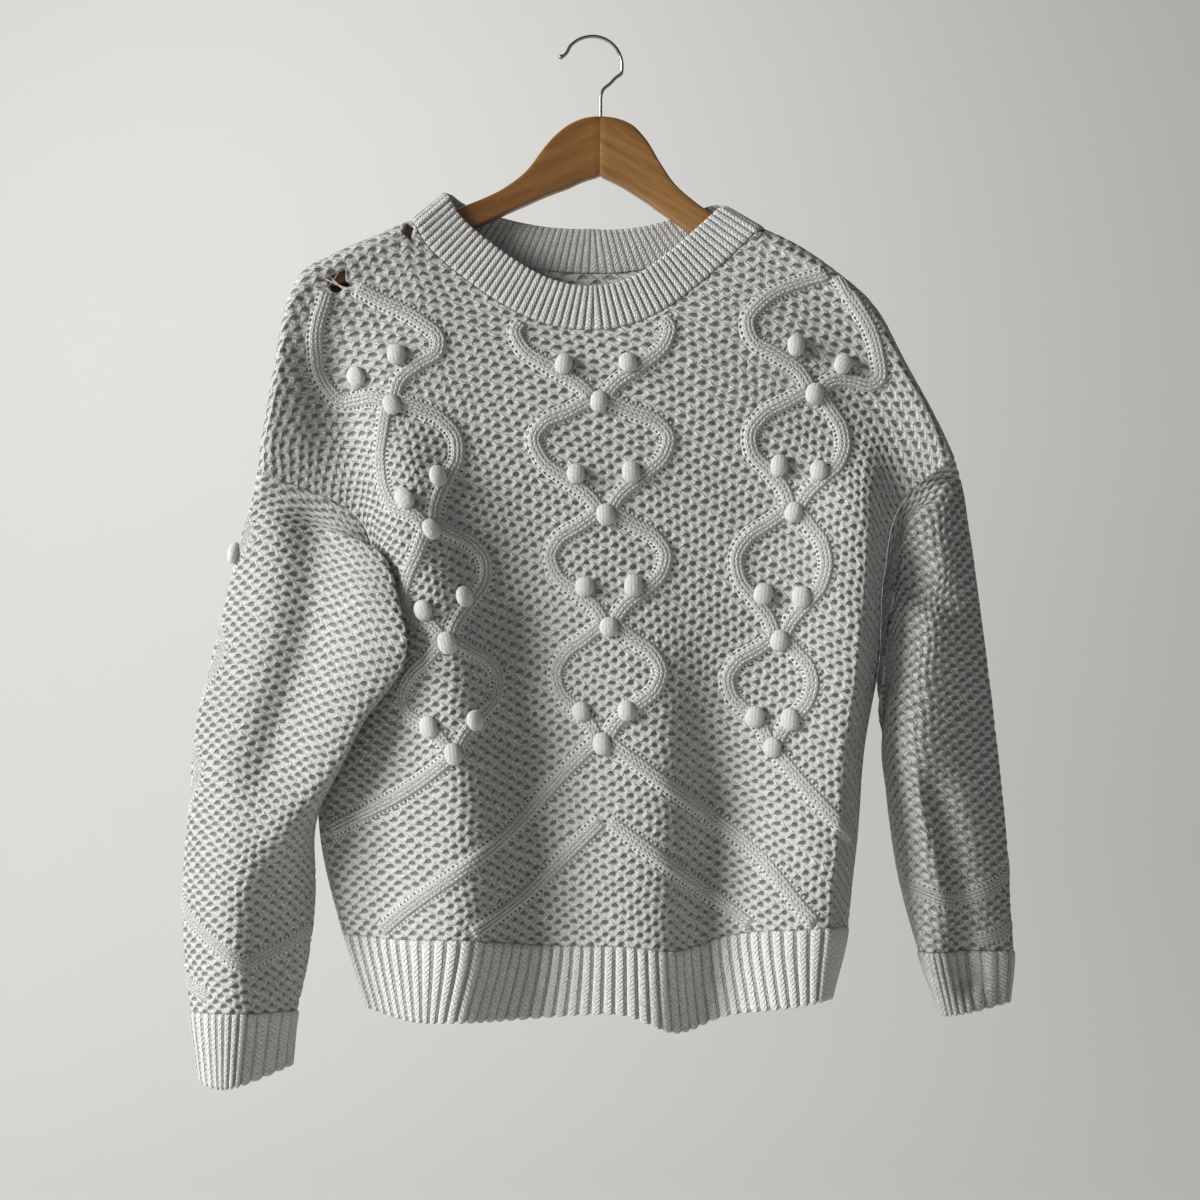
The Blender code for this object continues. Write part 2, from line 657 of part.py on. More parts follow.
def neck_wales(ribs):
    """The wales at which the neckband's ribs meet the neckline, closer together towards its corners."""
    part = np.linspace(-1, 1, 2 * ribs + 1)
    return NECK_HALF_WIDTH * np.sin(part * 1.25) / math.sin(1.25)


def welt_wales():
    """The wales at which the welt's ribs meet the panel: one at each crest and each trough."""
    return np.linspace(-HALF_WIDTH, HALF_WIDTH, 2 * RIBS_ACROSS_WELT + 1)


SIDE_HEIGHTS = np.linspace(0, UNDERARM, 15)
ARMHOLE_HEIGHTS = np.linspace(UNDERARM, SHOULDER_POINT, 18)
SHOULDER_WALES = np.linspace(HALF_WIDTH, NECK_HALF_WIDTH, 15)


def edge_directions(surface, sign, outline, seams):
    """Inward directions at an outline: along the seam's plane where front and back meet."""
    ways = -facing(surface, outline[:, 0], outline[:, 1], sign)
    ways[seams] = seam_directions(*outline[seams].T)
    return ways


def body_edge_directions(surface, sign, outline, seams):
    """Inward directions at the front's or back's outline, with each armhole's shared with its sleeve."""
    ways = edge_directions(surface, sign, outline, seams)
    for side in (-1, 1):
        at_side = outline[:, 0] * side > HALF_WIDTH - 1
        at_armhole = at_side & (outline[:, 1] > UNDERARM + 1) & (outline[:, 1] < SHOULDER_POINT - 1)
        down = (SHOULDER_POINT - outline[at_armhole, 1]) / (SHOULDER_POINT - UNDERARM)
        ways[at_armhole] = armhole_directions(sign * down / 2, side)
    return ways


def body_outline(is_front, ribs):
    """The cut edge of the front or back, drawn in by half a seam's gap. Also marks side and shoulder seams."""
    inset = HALF_GAP * 1.5
    welt = welt_wales()[1:-1]
    right = [(HALF_WIDTH - inset, max(h, inset)) for h in SIDE_HEIGHTS]
    right += [(HALF_WIDTH - inset, h) for h in ARMHOLE_HEIGHTS[1:-1]]
    right += [(w - (inset if i == 0 else 0), shoulder_height(w) - inset) for i, w in enumerate(SHOULDER_WALES)]
    left = [(-wale, height) for wale, height in right[::-1]]
    neck = neck_wales(ribs)[::-1][1:-1]
    top = [(wale, neck_height(wale, is_front) - inset) for wale in neck]
    bottom = [(wale, inset) for wale in welt]
    outline = np.array(bottom + right + top + left)
    side_count, arm_count = len(SIDE_HEIGHTS), len(ARMHOLE_HEIGHTS) - 2
    right_seam = [True] * side_count + [False] * arm_count + [True] * len(SHOULDER_WALES)
    seams = [False] * len(bottom) + right_seam + [False] * len(top) + right_seam[::-1]
    return outline, np.array(seams)


def roll_lines():
    """Lines beside each shoulder seam, where the cloth rolls over the hanger."""
    lines = []
    for side in (-1, 1):
        for drop in ROLL_LINES:
            wales = SHOULDER_WALES[1:] if drop < 10 else SHOULDER_WALES[1::2]
            wales = wales[wales > NECK_HALF_WIDTH + 4.0]
            wales = wales[wales < HALF_WIDTH - 4.0]
            lines.append(np.array([(side * wale, shoulder_height(wale) - drop) for wale in wales]))
    return lines


def torn_holes():
    """The two small tears near the left shoulder, as closed loops."""
    return [circle((across, up), wide, 8, high / wide) for across, up, wide, high in TEARS]


SLEEVE_TOP_TURNS = np.linspace(-0.5, 0.5, 35)
SLEEVE_ROUND = 320.0


def cuff_turns():
    """The turns at which a cuff's ribs meet the sleeve."""
    return np.linspace(-0.5, 0.5, 2 * RIBS_ROUND_CUFF + 1)


def sleeve_surface(side):
    """The sleeve as a surface of two lengths: round it, and down it."""
    return lambda rounded, along: sleeve_point(rounded / SLEEVE_ROUND, along, side)


def sleeve_length(side):
    rings = LEFT_RINGS if side < 0 else RIGHT_RINGS
    return rings[-2].along


# Sleeve cables as (round, along) from the outer fold. On the left sleeve the column's front wings
# come round the fold. Both sleeves end in two chevrons that meet at the front.
LEFT_WING_COLUMN = -45.0
LEFT_WING_TOPS = (12.0, 104.0, 184.0)
LEFT_CHEVRONS = (
    ((-45, 272), (0, 316), (50, 345), (96, 362)), ((96, 362), (128, 347), (156, 330)),
    ((-45, 330), (0, 372), (40, 386)),
)
RIGHT_CHEVRONS = (
    ((-30, 274), (0, 291), (22, 303), (42, 311)), ((42, 311), (80, 304), (120, 296), (154, 288)),
    ((-10, 324), (14, 335), (34, 341)),
)
LEFT_BOBBLE = (-7.0, 79.0)


def sleeve_cables(side):
    """The cable lines that show on a sleeve."""
    if side > 0:
        return [np.array(line, float) for line in RIGHT_CHEVRONS]
    lines = []
    for top in LEFT_WING_TOPS:
        line = diamond_line(LEFT_WING_COLUMN, 0.0, 1)[1:-1]
        lines.append(np.stack([line[:, 0], top - line[:, 1]], axis=1))
    return lines + [np.array(line, float) for line in LEFT_CHEVRONS]


def sleeve_bobbles(side):
    """The one bobble that shows at the left sleeve's outer fold."""
    return np.array([LEFT_BOBBLE] if side < 0 else []).reshape(-1, 2)


def armhole_directions(turn, side):
    """Inward directions round the armhole, midway between the panel's and the sleeve's."""
    height = SHOULDER_POINT + (UNDERARM - SHOULDER_POINT) * (1 - np.abs(1 - 2 * np.mod(turn, 1.0)))
    wale = np.full_like(height, side * HALF_WIDTH)
    is_seam = np.isclose(np.mod(turn, 0.5), 0) | np.isclose(np.mod(turn, 0.5), 0.5)
    corners = np.stack([wale, height], axis=1)
    front = edge_directions(front_point, 1, corners, is_seam)
    back = edge_directions(back_point, -1, corners, is_seam)
    ways = np.where((np.mod(turn, 1.0) <= 0.5)[:, None], front, back)
    sleeve = -facing(sleeve_surface(side), turn * SLEEVE_ROUND, np.full_like(turn, 0.6), side)
    midway = ways + sleeve
    midway /= np.linalg.norm(midway, axis=1, keepdims=True)
    return np.where(is_seam[:, None], ways, midway)


def sleeve_mesh(name, side):
    """A sleeve, from its armhole seam to the top of its cuff."""
    inset = HALF_GAP * 1.5
    length = sleeve_length(side) - inset
    drops = np.linspace(2 * inset, length, 27)
    top = [(turn * SLEEVE_ROUND, 2 * inset) for turn in SLEEVE_TOP_TURNS]
    right = [(SLEEVE_ROUND / 2, drop) for drop in drops[1:-1]]
    bottom = [(turn * SLEEVE_ROUND, length) for turn in cuff_turns()[::-1]]
    left = [(-SLEEVE_ROUND / 2, drop) for drop in drops[1:-1][::-1]]
    outline = np.array(top + right + bottom + left)
    count = len(outline)
    top_left, top_right = 0, len(top) - 1
    glued = [(top_left, top_right)]
    for i in range(len(right)):
        glued.append((count - 1 - i, len(top) + i))
    glued.append((len(top) + len(right) + len(bottom) - 1, len(top) + len(right)))
    edge_ways = edge_directions(sleeve_surface(side), side, outline, np.zeros(count, bool))
    edge_ways[: len(top)] = armhole_directions(SLEEVE_TOP_TURNS, side)
    return panel_mesh(
        name, sleeve_surface(side), side, outline, edge_ways, [], sleeve_cables(side), sleeve_bobbles(side),
        ((16.0, 24.0), (20.0, 30.0)), (), glued,
    )


def strip_mesh(name, outer, inner, is_closed):
    """A ribbed strip from its outer and inner rows of points, each row from one end to the other."""
    count, size = outer.shape[1], outer.shape[0] * outer.shape[1]
    points = np.concatenate([outer.reshape(-1, 3), inner.reshape(-1, 3)])
    last = size - count
    faces = []
    for i in range(count if is_closed else count - 1):
        j = (i + 1) % count
        for row in range(outer.shape[0] - 1):
            a, b = row * count + i, row * count + j
            faces.append((a, b, b + count, a + count))
            faces.append((size + a + count, size + b + count, size + b, size + a))
        faces += rim_quad(points, j, i, size + i, size + j)
        faces += rim_quad(points, last + i, last + j, size + last + j, size + last + i)
    if not is_closed:
        for a in range(0, last, count):
            b = a + count - 1
            faces += rim_quad(points, a, a + count, size + a + count, size + a)
            faces += rim_quad(points, b + count, b, size + b, size + b + count)
    return closed_mesh(name, points, faces)


def ribbed_mesh(name, surface, sign, rows, is_closed, seam_ends):
    """A ribbed strip on a surface: each crest raised and each trough level with the surface."""
    count = rows.shape[1]
    ways = facing(surface, rows[..., 0], rows[..., 1], sign)
    place = surface(rows[..., 0], rows[..., 1])
    outer = place + ways * (np.arange(count) % 2 * RIB_RELIEF)[:, None]
    inward = -ways
    if seam_ends:
        inward[:, [0, -1]] = seam_directions(rows[:, [0, -1], 0], rows[:, [0, -1], 1])
    inner = place + inward * RIB_THICKNESS
    if sign > 0:
        outer, inner = outer[::-1], inner[::-1]
    return strip_mesh(name, outer, inner, is_closed)


def welt_mesh(name, is_front):
    """A ribbed welt below the front or back."""
    inset = HALF_GAP * 1.5
    wales = welt_wales().clip(-HALF_WIDTH + inset, HALF_WIDTH - inset)
    heights = np.array([-inset, -WELT_DEPTH / 2, -WELT_DEPTH])
    rows = np.array([[(wale, height) for wale in wales] for height in heights])
    surface = front_point if is_front else back_point
    return ribbed_mesh(name, surface, 1 if is_front else -1, rows, False, True)


def cuff_mesh(name, side):
    """A ribbed cuff at a sleeve's end."""
    inset = HALF_GAP * 1.5
    rings = LEFT_RINGS if side < 0 else RIGHT_RINGS
    drops = (rings[-2].along + inset, (rings[-2].along + rings[-1].along) / 2, rings[-1].along)
    turns = cuff_turns()[:-1]
    rows = np.array([[(turn * SLEEVE_ROUND, drop) for turn in turns] for drop in drops])
    return ribbed_mesh(name, sleeve_surface(side), side, rows, True, False)


def neckband_places():
    """Places round the neckband: front from left to right, then back from right to left."""
    front, back = neck_wales(RIBS_ON_FRONT_NECK), neck_wales(RIBS_ON_BACK_NECK)
    wales = np.concatenate([front[:-1], back[::-1][:-1]])
    is_front = np.arange(len(wales)) < len(front) - 1
    return wales, is_front


def neckband_point(wales, is_front, rise):
    """The neckband's outer surface: from the neckline it stands up and leans in, over the hanger's arms."""
    gap = HALF_GAP * 2
    heights = np.where(is_front, neck_height(wales, True), neck_height(wales, False))
    foot = np.where(is_front[:, None], front_point(wales, heights), back_point(wales, heights))
    share = np.abs(wales) / NECK_HALF_WIDTH
    inset = np.where(wales < 0, NECKBAND_INSET_LEFT, NECKBAND_INSET_RIGHT)
    inward = inset * share**0.7
    upward = np.sqrt(NECKBAND_HEIGHT**2 - inward**2)
    bow = hanger_forward(foot[:, 0]) - hanger_forward(np.abs(foot[:, 0]) - inward)
    lean = np.where(is_front, NECKBAND_LEAN, -NECKBAND_LEAN * 0.4) * (1 - share**2) + bow
    way = np.stack([-np.sign(wales) * inward, lean, upward], axis=1)
    unit = way / np.linalg.norm(way, axis=1, keepdims=True)
    return foot + unit * gap + way * rise


def neckband_mesh(name):
    """The ribbed neckband, a closed strip round the neck."""
    wales, is_front = neckband_places()
    rows = np.array([neckband_point(wales, is_front, rise) for rise in (0.0, 0.5, 1.0)])
    round_way = np.roll(rows, -1, axis=1) - np.roll(rows, 1, axis=1)
    ways = np.cross(round_way, (rows[-1] - rows[0])[None])
    ways /= np.linalg.norm(ways, axis=2, keepdims=True)
    is_corner = np.isclose(np.abs(wales), NECK_HALF_WIDTH)
    front_foot = np.stack([wales, neck_height(wales, True)], axis=1)
    back_foot = np.stack([wales, neck_height(wales, False)], axis=1)
    front_ways = edge_directions(front_point, 1, front_foot, is_corner)
    back_ways = edge_directions(back_point, -1, back_foot, is_corner)
    ways[0] = -np.where(is_front[:, None], front_ways, back_ways)
    outer = rows + ways * (np.arange(len(wales)) % 2 * RIB_RELIEF)[:, None]
    inner = rows - ways * RIB_THICKNESS
    return strip_mesh(name, outer, inner, True)


def arm_profile(half, height):
    """Half a turn round an upright rounded section, as (forward, up) from the middle of its top."""
    return (
        (half, -5.5), (half * 0.7, -1.6), (0, 0), (-half * 0.7, -1.6), (-half, -5.5),
        (-half, 3.5 - height), (-half * 0.6, -height), (half * 0.6, -height), (half, 3.5 - height),
    )


def arm_mesh(name, stations, under_seam, side):
    """A hanger arm: upright rounded sections lofted along its bow, then along the shoulder seam."""
    half = HANGER_HALF_THICKNESS
    rings = []
    for station in stations:
        profile = np.array(arm_profile(half, station.top - station.bottom))
        across = np.full(len(profile), station.across, float)
        forward = hanger_forward(station.across) + profile[:, 0]
        rings.append(placed(across, station.top + profile[:, 1], forward))
    rings[0][:, 0] = HANGER_JOINT_X + side * HALF_GAP
    wales = np.array([wale for wale, _ in under_seam], float)
    crest = front_point(wales, shoulder_height(wales))
    run = front_point(wales + side, shoulder_height(wales + side)) - crest
    run[:, 1] = 0
    run /= np.linalg.norm(run, axis=1, keepdims=True)
    across_seam = np.stack([run[:, 2], np.zeros(len(run)), -run[:, 0]], axis=1) * side
    down = front_point(wales, shoulder_height(wales) - SHOULDER_ROLL * math.pi / 2) - crest
    down[:, 1] = 0
    down /= np.linalg.norm(down, axis=1, keepdims=True)
    slant = (down * across_seam).sum(axis=1, keepdims=True)
    top = crest + down * (CLOTH_THICKNESS + UNDER_SEAM_GAP) / slant
    for index, (_, height) in enumerate(under_seam):
        narrow = 0.6 if index == len(under_seam) - 1 else 1.0
        profile = np.array(arm_profile(UNDER_SEAM_HALF_THICKNESS * narrow, height))
        rings.append(top[index] - profile[:, :1] * np.array([0, 1, 0]) - profile[:, 1:] * down[index])
    count = len(rings[0])
    points = np.concatenate(rings)
    faces = [tuple(range(count)), tuple(range(len(points) - 1, len(points) - count - 1, -1))]
    for ring in range(len(rings) - 1):
        for i in range(count):
            a, b = ring * count + i, ring * count + (i + 1) % count
            faces.append((a, a + count, b + count, b))
    return closed_mesh(name, points, faces)


def hook_path():
    """The wire's centre line: up the stem, round the bend and over the crown to the tip."""
    angles = np.linspace(HOOK_FROM, HOOK_TO, HOOK_STEPS)
    crown = [
        (HOOK_CENTRE[0] + HOOK_RADIUS * math.cos(angle), HOOK_CENTRE[1] + HOOK_RADIUS * math.sin(angle))
        for angle in angles
    ]
    return [*HOOK_BEND, *crown, *HOOK_TIP]


def add_hook(name, material, collection):
    """The hook, a bent wire with filled ends."""
    curve = bpy.data.curves.new(name, "CURVE")
    curve.dimensions = "3D"
    curve.bevel_depth = WIRE_RADIUS * MM
    curve.bevel_resolution = 2
    curve.use_fill_caps = True
    path = hook_path()
    spline = curve.splines.new("POLY")
    spline.points.add(len(path) - 1)
    for point, (x, z) in zip(spline.points, path):
        point.co = (x * MM, 0.0, z * MM, 1.0)
    for point in spline.points[-2:]:
        point.radius = BEAD_RADIUS / WIRE_RADIUS
    curve.materials.append(material)
    made = bpy.data.objects.new(name, curve)
    collection.objects.link(made)
    return made


def add_socket_cutter(collection):
    """The hole that the stem stands in, cut half from each arm."""
    work = bmesh.new()
    bmesh.ops.create_cone(
        work, cap_ends=True, segments=16, radius1=(WIRE_RADIUS + GAP) * MM, radius2=(WIRE_RADIUS + GAP) * MM,
        depth=40 * MM,
    )
    mesh = bpy.data.meshes.new("stem_socket")
    work.to_mesh(mesh)
    work.free()
    cutter = bpy.data.objects.new("stem_socket", mesh)
    cutter.location = (HOOK_BEND[0][0] * MM, 0, (STEM_FOOT_Z - GAP + 20) * MM)
    cutter.hide_render = True
    cutter.display_type = "WIRE"
    collection.objects.link(cutter)
    return cutter


def new_material(name, colour, roughness, metallic=0.0):
    """A plain Principled material."""
    material = bpy.data.materials.new(name)
    material.use_nodes = True
    shader = material.node_tree.nodes["Principled BSDF"]
    shader.inputs["Base Color"].default_value = (*colour, 1.0)
    shader.inputs["Roughness"].default_value = roughness
    shader.inputs["Metallic"].default_value = metallic
    return material


def new_collection(name):
    collection = bpy.data.collections.new(name)
    bpy.context.scene.collection.children.link(collection)
    return collection


def add_cloth(collection, knit, rib):
    """Every cut piece of the pullover."""
    outline, seams = body_outline(True, RIBS_ON_FRONT_NECK)
    edge_ways = body_edge_directions(front_point, 1, outline, seams)
    front = panel_mesh(
        "front", front_point, 1, outline, edge_ways, torn_holes(), front_cables(), front_bobbles(),
        ((23.0, 23.0), (29.0, 29.0)), roll_lines(),
    )
    new_object("front", front, knit, collection)
    outline, seams = body_outline(False, RIBS_ON_BACK_NECK)
    edge_ways = body_edge_directions(back_point, -1, outline, seams)
    back = panel_mesh(
        "back", back_point, -1, outline, edge_ways, [], [], np.zeros((0, 2)), ((28.0, 28.0), (32.0, 32.0)),
        roll_lines(),
    )
    new_object("back", back, knit, collection)
    for name, side in (("left", -1), ("right", 1)):
        new_object(f"sleeve_{name}", sleeve_mesh(f"sleeve_{name}", side), knit, collection)
        new_object(f"cuff_{name}", cuff_mesh(f"cuff_{name}", side), rib, collection)
    new_object("welt_front", welt_mesh("welt_front", True), rib, collection)
    new_object("welt_back", welt_mesh("welt_back", False), rib, collection)
    new_object("neckband", neckband_mesh("neckband"), rib, collection)


def add_hanger(collection, cutters, wood, steel):
    """The two arms, joined at the middle, and the wire hook that stands between them."""
    cutter = add_socket_cutter(cutters)
    sides = (("left", LEFT_ARM, LEFT_ARM_UNDER_SEAM, -1), ("right", RIGHT_ARM, RIGHT_ARM_UNDER_SEAM, 1))
    for name, stations, under_seam, side in sides:
        mesh = arm_mesh(f"hanger_arm_{name}", stations, under_seam, side)
        arm = new_object(f"hanger_arm_{name}", mesh, wood, collection)
        cut = arm.modifiers.new("socket", "BOOLEAN")
        cut.operation = "DIFFERENCE"
        cut.object = cutter
    add_hook("hook", steel, collection)


def main():
    for old in list(bpy.data.objects):
        bpy.data.objects.remove(old)
    parts = new_collection("pullover_on_hanger")
    cutters = new_collection("cutters")
    knit = new_material("cream_knit", (0.72, 0.70, 0.64), 0.95)
    rib = new_material("cream_rib", (0.70, 0.68, 0.62), 0.95)
    wood = new_material("hanger_wood", (0.42, 0.20, 0.06), 0.4)
    steel = new_material("hook_steel", (0.6, 0.6, 0.6), 0.25, 1.0)
    add_cloth(parts, knit, rib)
    add_hanger(parts, cutters, wood, steel)


main()
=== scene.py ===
"""Looks of a cable-knit pullover on its wooden hanger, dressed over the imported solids.

The object's sizes are in millimetres and turn to metres only when a mesh is made. Those of the
finishes, the flat sizes and the stage are in metres. A stitch is found by its wale, how far across
the flat panel it lies, and its height up the panel. Tables give places as they are seen from the
front, across and up from the underside of the hook's crown, with how far forward they stand. X is
to the right, -Y to the front and Z up.
"""

import logging
import math
from dataclasses import dataclass, field
from enum import Enum
from typing import Callable, NamedTuple

import bpy
import numpy as np
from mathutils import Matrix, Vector


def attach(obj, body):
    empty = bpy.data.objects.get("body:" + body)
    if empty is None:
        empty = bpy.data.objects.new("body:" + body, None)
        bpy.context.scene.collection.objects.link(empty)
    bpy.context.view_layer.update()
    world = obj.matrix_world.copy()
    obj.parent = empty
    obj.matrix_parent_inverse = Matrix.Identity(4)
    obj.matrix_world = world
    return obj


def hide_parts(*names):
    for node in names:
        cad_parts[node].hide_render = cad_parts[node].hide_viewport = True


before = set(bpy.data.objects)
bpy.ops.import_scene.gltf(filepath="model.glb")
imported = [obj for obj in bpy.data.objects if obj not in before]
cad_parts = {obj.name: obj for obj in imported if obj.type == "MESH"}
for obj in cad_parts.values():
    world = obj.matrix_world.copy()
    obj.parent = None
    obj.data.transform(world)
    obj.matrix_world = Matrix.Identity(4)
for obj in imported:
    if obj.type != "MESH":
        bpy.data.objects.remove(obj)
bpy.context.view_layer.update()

Array = np.ndarray
Socket = bpy.types.NodeSocket
# A finish's painted shade and its height.
Drawn = tuple[Socket, Socket]
Piece = bpy.types.Object
Material = bpy.types.Material
# From places in the cloth to points, and to whether a band may run there.
Surface = Callable[[Array, Array], Array]
Region = Callable[[Array, Array], Array]
MM = 0.001
# A curve may be read past its ends by this share of its last gap.
PAST_END = 0.5
# How many points a seam's real length is measured through.
SEAM_POINTS = 1201
log = logging.getLogger("pullover")


class Side(Enum):
    """Which side of the pullover, as it is seen, a piece is on."""

    LEFT = -1
    RIGHT = 1


class Slot(Enum):
    """The record's material slots."""

    KNIT = "knit"
    RIB = "rib"
    WOOD = "wood"
    STEEL = "steel"


# ---- curves and surfaces


def ease(part: Array) -> Array:
    """Zero to one with level ends: three squares less two cubes."""
    part = np.clip(part, 0.0, 1.0)
    return part * part * (3 - 2 * part)


def unit(ways: Array) -> Array:
    """Directions brought to length one along the last axis."""
    return ways / np.linalg.norm(ways, axis=-1, keepdims=True).clip(1e-9)


def smooth_rows(stations: Array, values: Array, at: Array) -> Array:
    """Reads a cubic curve through each row's own values.

    Each station's slope is the mean of the slopes beside it, weighed by the far gap.

    Args:
        stations: where the values stand, shape (n,).
        values: one set of values for each row, shape (rows, n, k).
        at: the place to read in each row, shape (rows,).

    Returns:
        The values there, shape (rows, k).
    """
    gaps = np.diff(stations)
    steps = np.diff(values, axis=1) / gaps[:, None]
    weighed = steps[:, :-1] * gaps[1:, None] + steps[:, 1:] * gaps[:-1, None]
    inner = weighed / (gaps[1:] + gaps[:-1])[:, None]
    slopes = np.concatenate([steps[:, :1], inner, steps[:, -1:]], axis=1)
    index = np.clip(np.searchsorted(stations, at, side="right") - 1, 0, len(stations) - 2)
    rows = np.arange(len(at)) if len(values) > 1 else np.zeros(len(at), int)
    gap = gaps[index][:, None]
    part = ((at - stations[index])[:, None] / gap).clip(-PAST_END, 1 + PAST_END)
    first, second = values[rows, index], values[rows, index + 1]
    slope_a, slope_b = slopes[rows, index] * gap, slopes[rows, index + 1] * gap
    square, cube = part**2, part**3
    return (
        (2 * cube - 3 * square + 1) * first
        + (cube - 2 * square + part) * slope_a
        + (3 * square - 2 * cube) * second
        + (cube - square) * slope_b
    )


def stacked(*parts: Array) -> Array:
    """Arrays brought to one shape and set beside each other along a new last axis."""
    return np.stack(np.broadcast_arrays(*parts), axis=-1)


def lengths_along(points: Array) -> Array:
    """The real length from a line's first point to each of its points."""
    return np.concatenate([[0.0], np.cumsum(np.linalg.norm(np.diff(points, axis=0), axis=1))])


def smooth(stations: Array, values: Array, at: Array) -> Array:
    """The same cubic where every place, shape (m,), reads one shared row of values, shape (n, ...)."""
    shared = np.asarray(values, float).reshape(1, len(stations), -1)
    return smooth_rows(np.asarray(stations, float), shared, np.asarray(at, float))


def grid_ways(points: Array, sign: float, wraps: bool) -> Array:
    """Outward unit directions of a grid of points, the cross product of its two runs.

    Args:
        points: rows by columns by 3.
        sign: 1 where columns cross rows outwards, else -1.
        wraps: whether the last column is the first one again.

    Returns:
        Directions, rows by columns by 3.
    """
    up = np.gradient(points, axis=0)
    if wraps:
        ring = points[:, :-1]
        across = np.roll(ring, -1, axis=1) - np.roll(ring, 1, axis=1)
        across = np.concatenate([across, across[:, :1]], axis=1)
    else:
        across = np.gradient(points, axis=1)
    return unit(np.cross(across, up) * sign)


def evened(points: Array, rounds: int = 3500, kept: float = 0.15) -> Array:
    """Flat places of a grid of cloth points, so that each stitch keeps nearly its real size.

    A step up the grid should rise by its real length. A step across should move by the part of its
    length that is square to that rise, and rise by the rest. Each place is moved time and again
    towards the mean of what its neighbours ask for.

    Args:
        points: rows by columns by 3.
        rounds: how often the places are moved.
        kept: the share of each place that a round leaves as it was.

    Returns:
        Places across and up, rows by columns by 2, with the middle of the lowest row at zero.
    """
    rise = unit(np.gradient(points, axis=0))
    rise = (rise[:, :-1] + rise[:, 1:]) / 2
    across = np.diff(points, axis=1)
    along = (across * rise).sum(axis=-1)
    square = np.sqrt(((across**2).sum(axis=-1) - along**2).clip(0))
    tall = np.linalg.norm(np.diff(points, axis=0), axis=-1)
    right = np.stack([square, along], axis=-1)
    upward = np.stack([np.zeros_like(tall), tall], axis=-1)
    flat = np.zeros((*points.shape[:2], 2))
    flat[:, 1:, 0] = np.cumsum(square.mean(axis=0))
    flat[1:, :, 1] = np.cumsum(tall.mean(axis=1))[:, None]
    count = np.full(points.shape[:2], 4.0)
    count[0], count[-1] = count[0] - 1, count[-1] - 1
    count[:, 0], count[:, -1] = count[:, 0] - 1, count[:, -1] - 1
    for _ in range(rounds):
        asked = np.zeros_like(flat)
        asked[:, 1:] += flat[:, :-1] + right
        asked[:, :-1] += flat[:, 1:] - right
        asked[1:] += flat[:-1] + upward
        asked[:-1] += flat[1:] - upward
        flat = kept * flat + (1 - kept) * asked / count[..., None]
    return flat - flat[0, flat.shape[1] // 2]


def filled(values: Array, up: int, across: int) -> Array:
    """Fills a coarse grid's values in linearly, with so many steps up and across to each of its own."""
    row = np.arange((values.shape[0] - 1) * up + 1) / up
    low = np.minimum(row.astype(int), values.shape[0] - 2)
    values = values[low] + (values[low + 1] - values[low]) * (row - low)[:, None, None]
    column = np.arange((values.shape[1] - 1) * across + 1) / across
    low = np.minimum(column.astype(int), values.shape[1] - 2)
    return values[:, low] + (values[:, low + 1] - values[:, low]) * (column - low)[None, :, None]


@dataclass(frozen=True)
class Eye:
    """Where the pullover is seen from: what stands nearer is drawn in towards this line of sight."""

    x: float = 9.0
    z: float = -421.5
    distance: float = 1250.0

    def placed(self, across: Array, up: Array, forward: Array) -> Array:
        """The real place of what is seen at (across, up) and stands this far forward."""
        share = (self.distance - forward) / self.distance
        x, z = self.x + (across - self.x) * share, self.z + (up - self.z) * share
        return np.stack([x, -forward, z], axis=-1)


EYE = Eye()


class Course(NamedTuple):
    """One course of the body: where its seven marked wales are seen, and how far forward it stands."""

    height: float
    left_edge: tuple
    left_outer: tuple
    left_cable: tuple
    middle: tuple
    right_cable: tuple
    right_outer: tuple
    right_edge: tuple
    side_forward: float
    front_forward: float


class Fold(NamedTuple):
    """A ridge (forward above zero) or trough (below zero) that runs down the cloth."""

    path: tuple
    width_left: float
    width_right: float
    forward: float
    fade_top: float
    fade_bottom: float

    def lift(self, across: Array, up: Array) -> Array:
        """What the fold adds: a bell across its path, eased out at its two ends."""
        path = np.array(self.path, float)[::-1]
        centre = smooth(path[:, 1], path[:, 0], up.clip(path[0, 1], path[-1, 1]))[:, 0]
        off = across - centre
        width = np.where(off < 0, self.width_left, self.width_right)
        shown = np.ones_like(across)
        if self.fade_top:
            shown = shown * ease((path[-1, 1] - up) / self.fade_top)
        if self.fade_bottom:
            shown = shown * ease((up - path[0, 1]) / self.fade_bottom)
        return self.forward * np.exp(-((off / width) ** 2)) * shown


@dataclass(frozen=True)
class HangerBow:
    """How the hanger's arms bow forward towards their tips."""

    reach: float = 215.0
    bow: float = 26.0
    power: float = 1.6

    def forward(self, across: Array) -> Array:
        """How far forward the arms stand at this distance across: a power of the share of the reach."""
        return self.bow * (np.abs(across) / self.reach) ** self.power


BOW = HangerBow()


class Nudge(NamedTuple):
    """A soft push of what is seen: strongest at its middle and faded as a bell over two widths."""

    across: float
    up: float
    wide: float
    tall: float
    right: float
    rise: float

    def push(self, seen: Array) -> Array:
        """What the push adds at seen places, shape (m, 2)."""
        off = (seen - np.array([self.across, self.up])) / np.array([self.wide, self.tall])
        return np.exp(-(off**2).sum(axis=-1))[..., None] * np.array([self.right, self.rise])


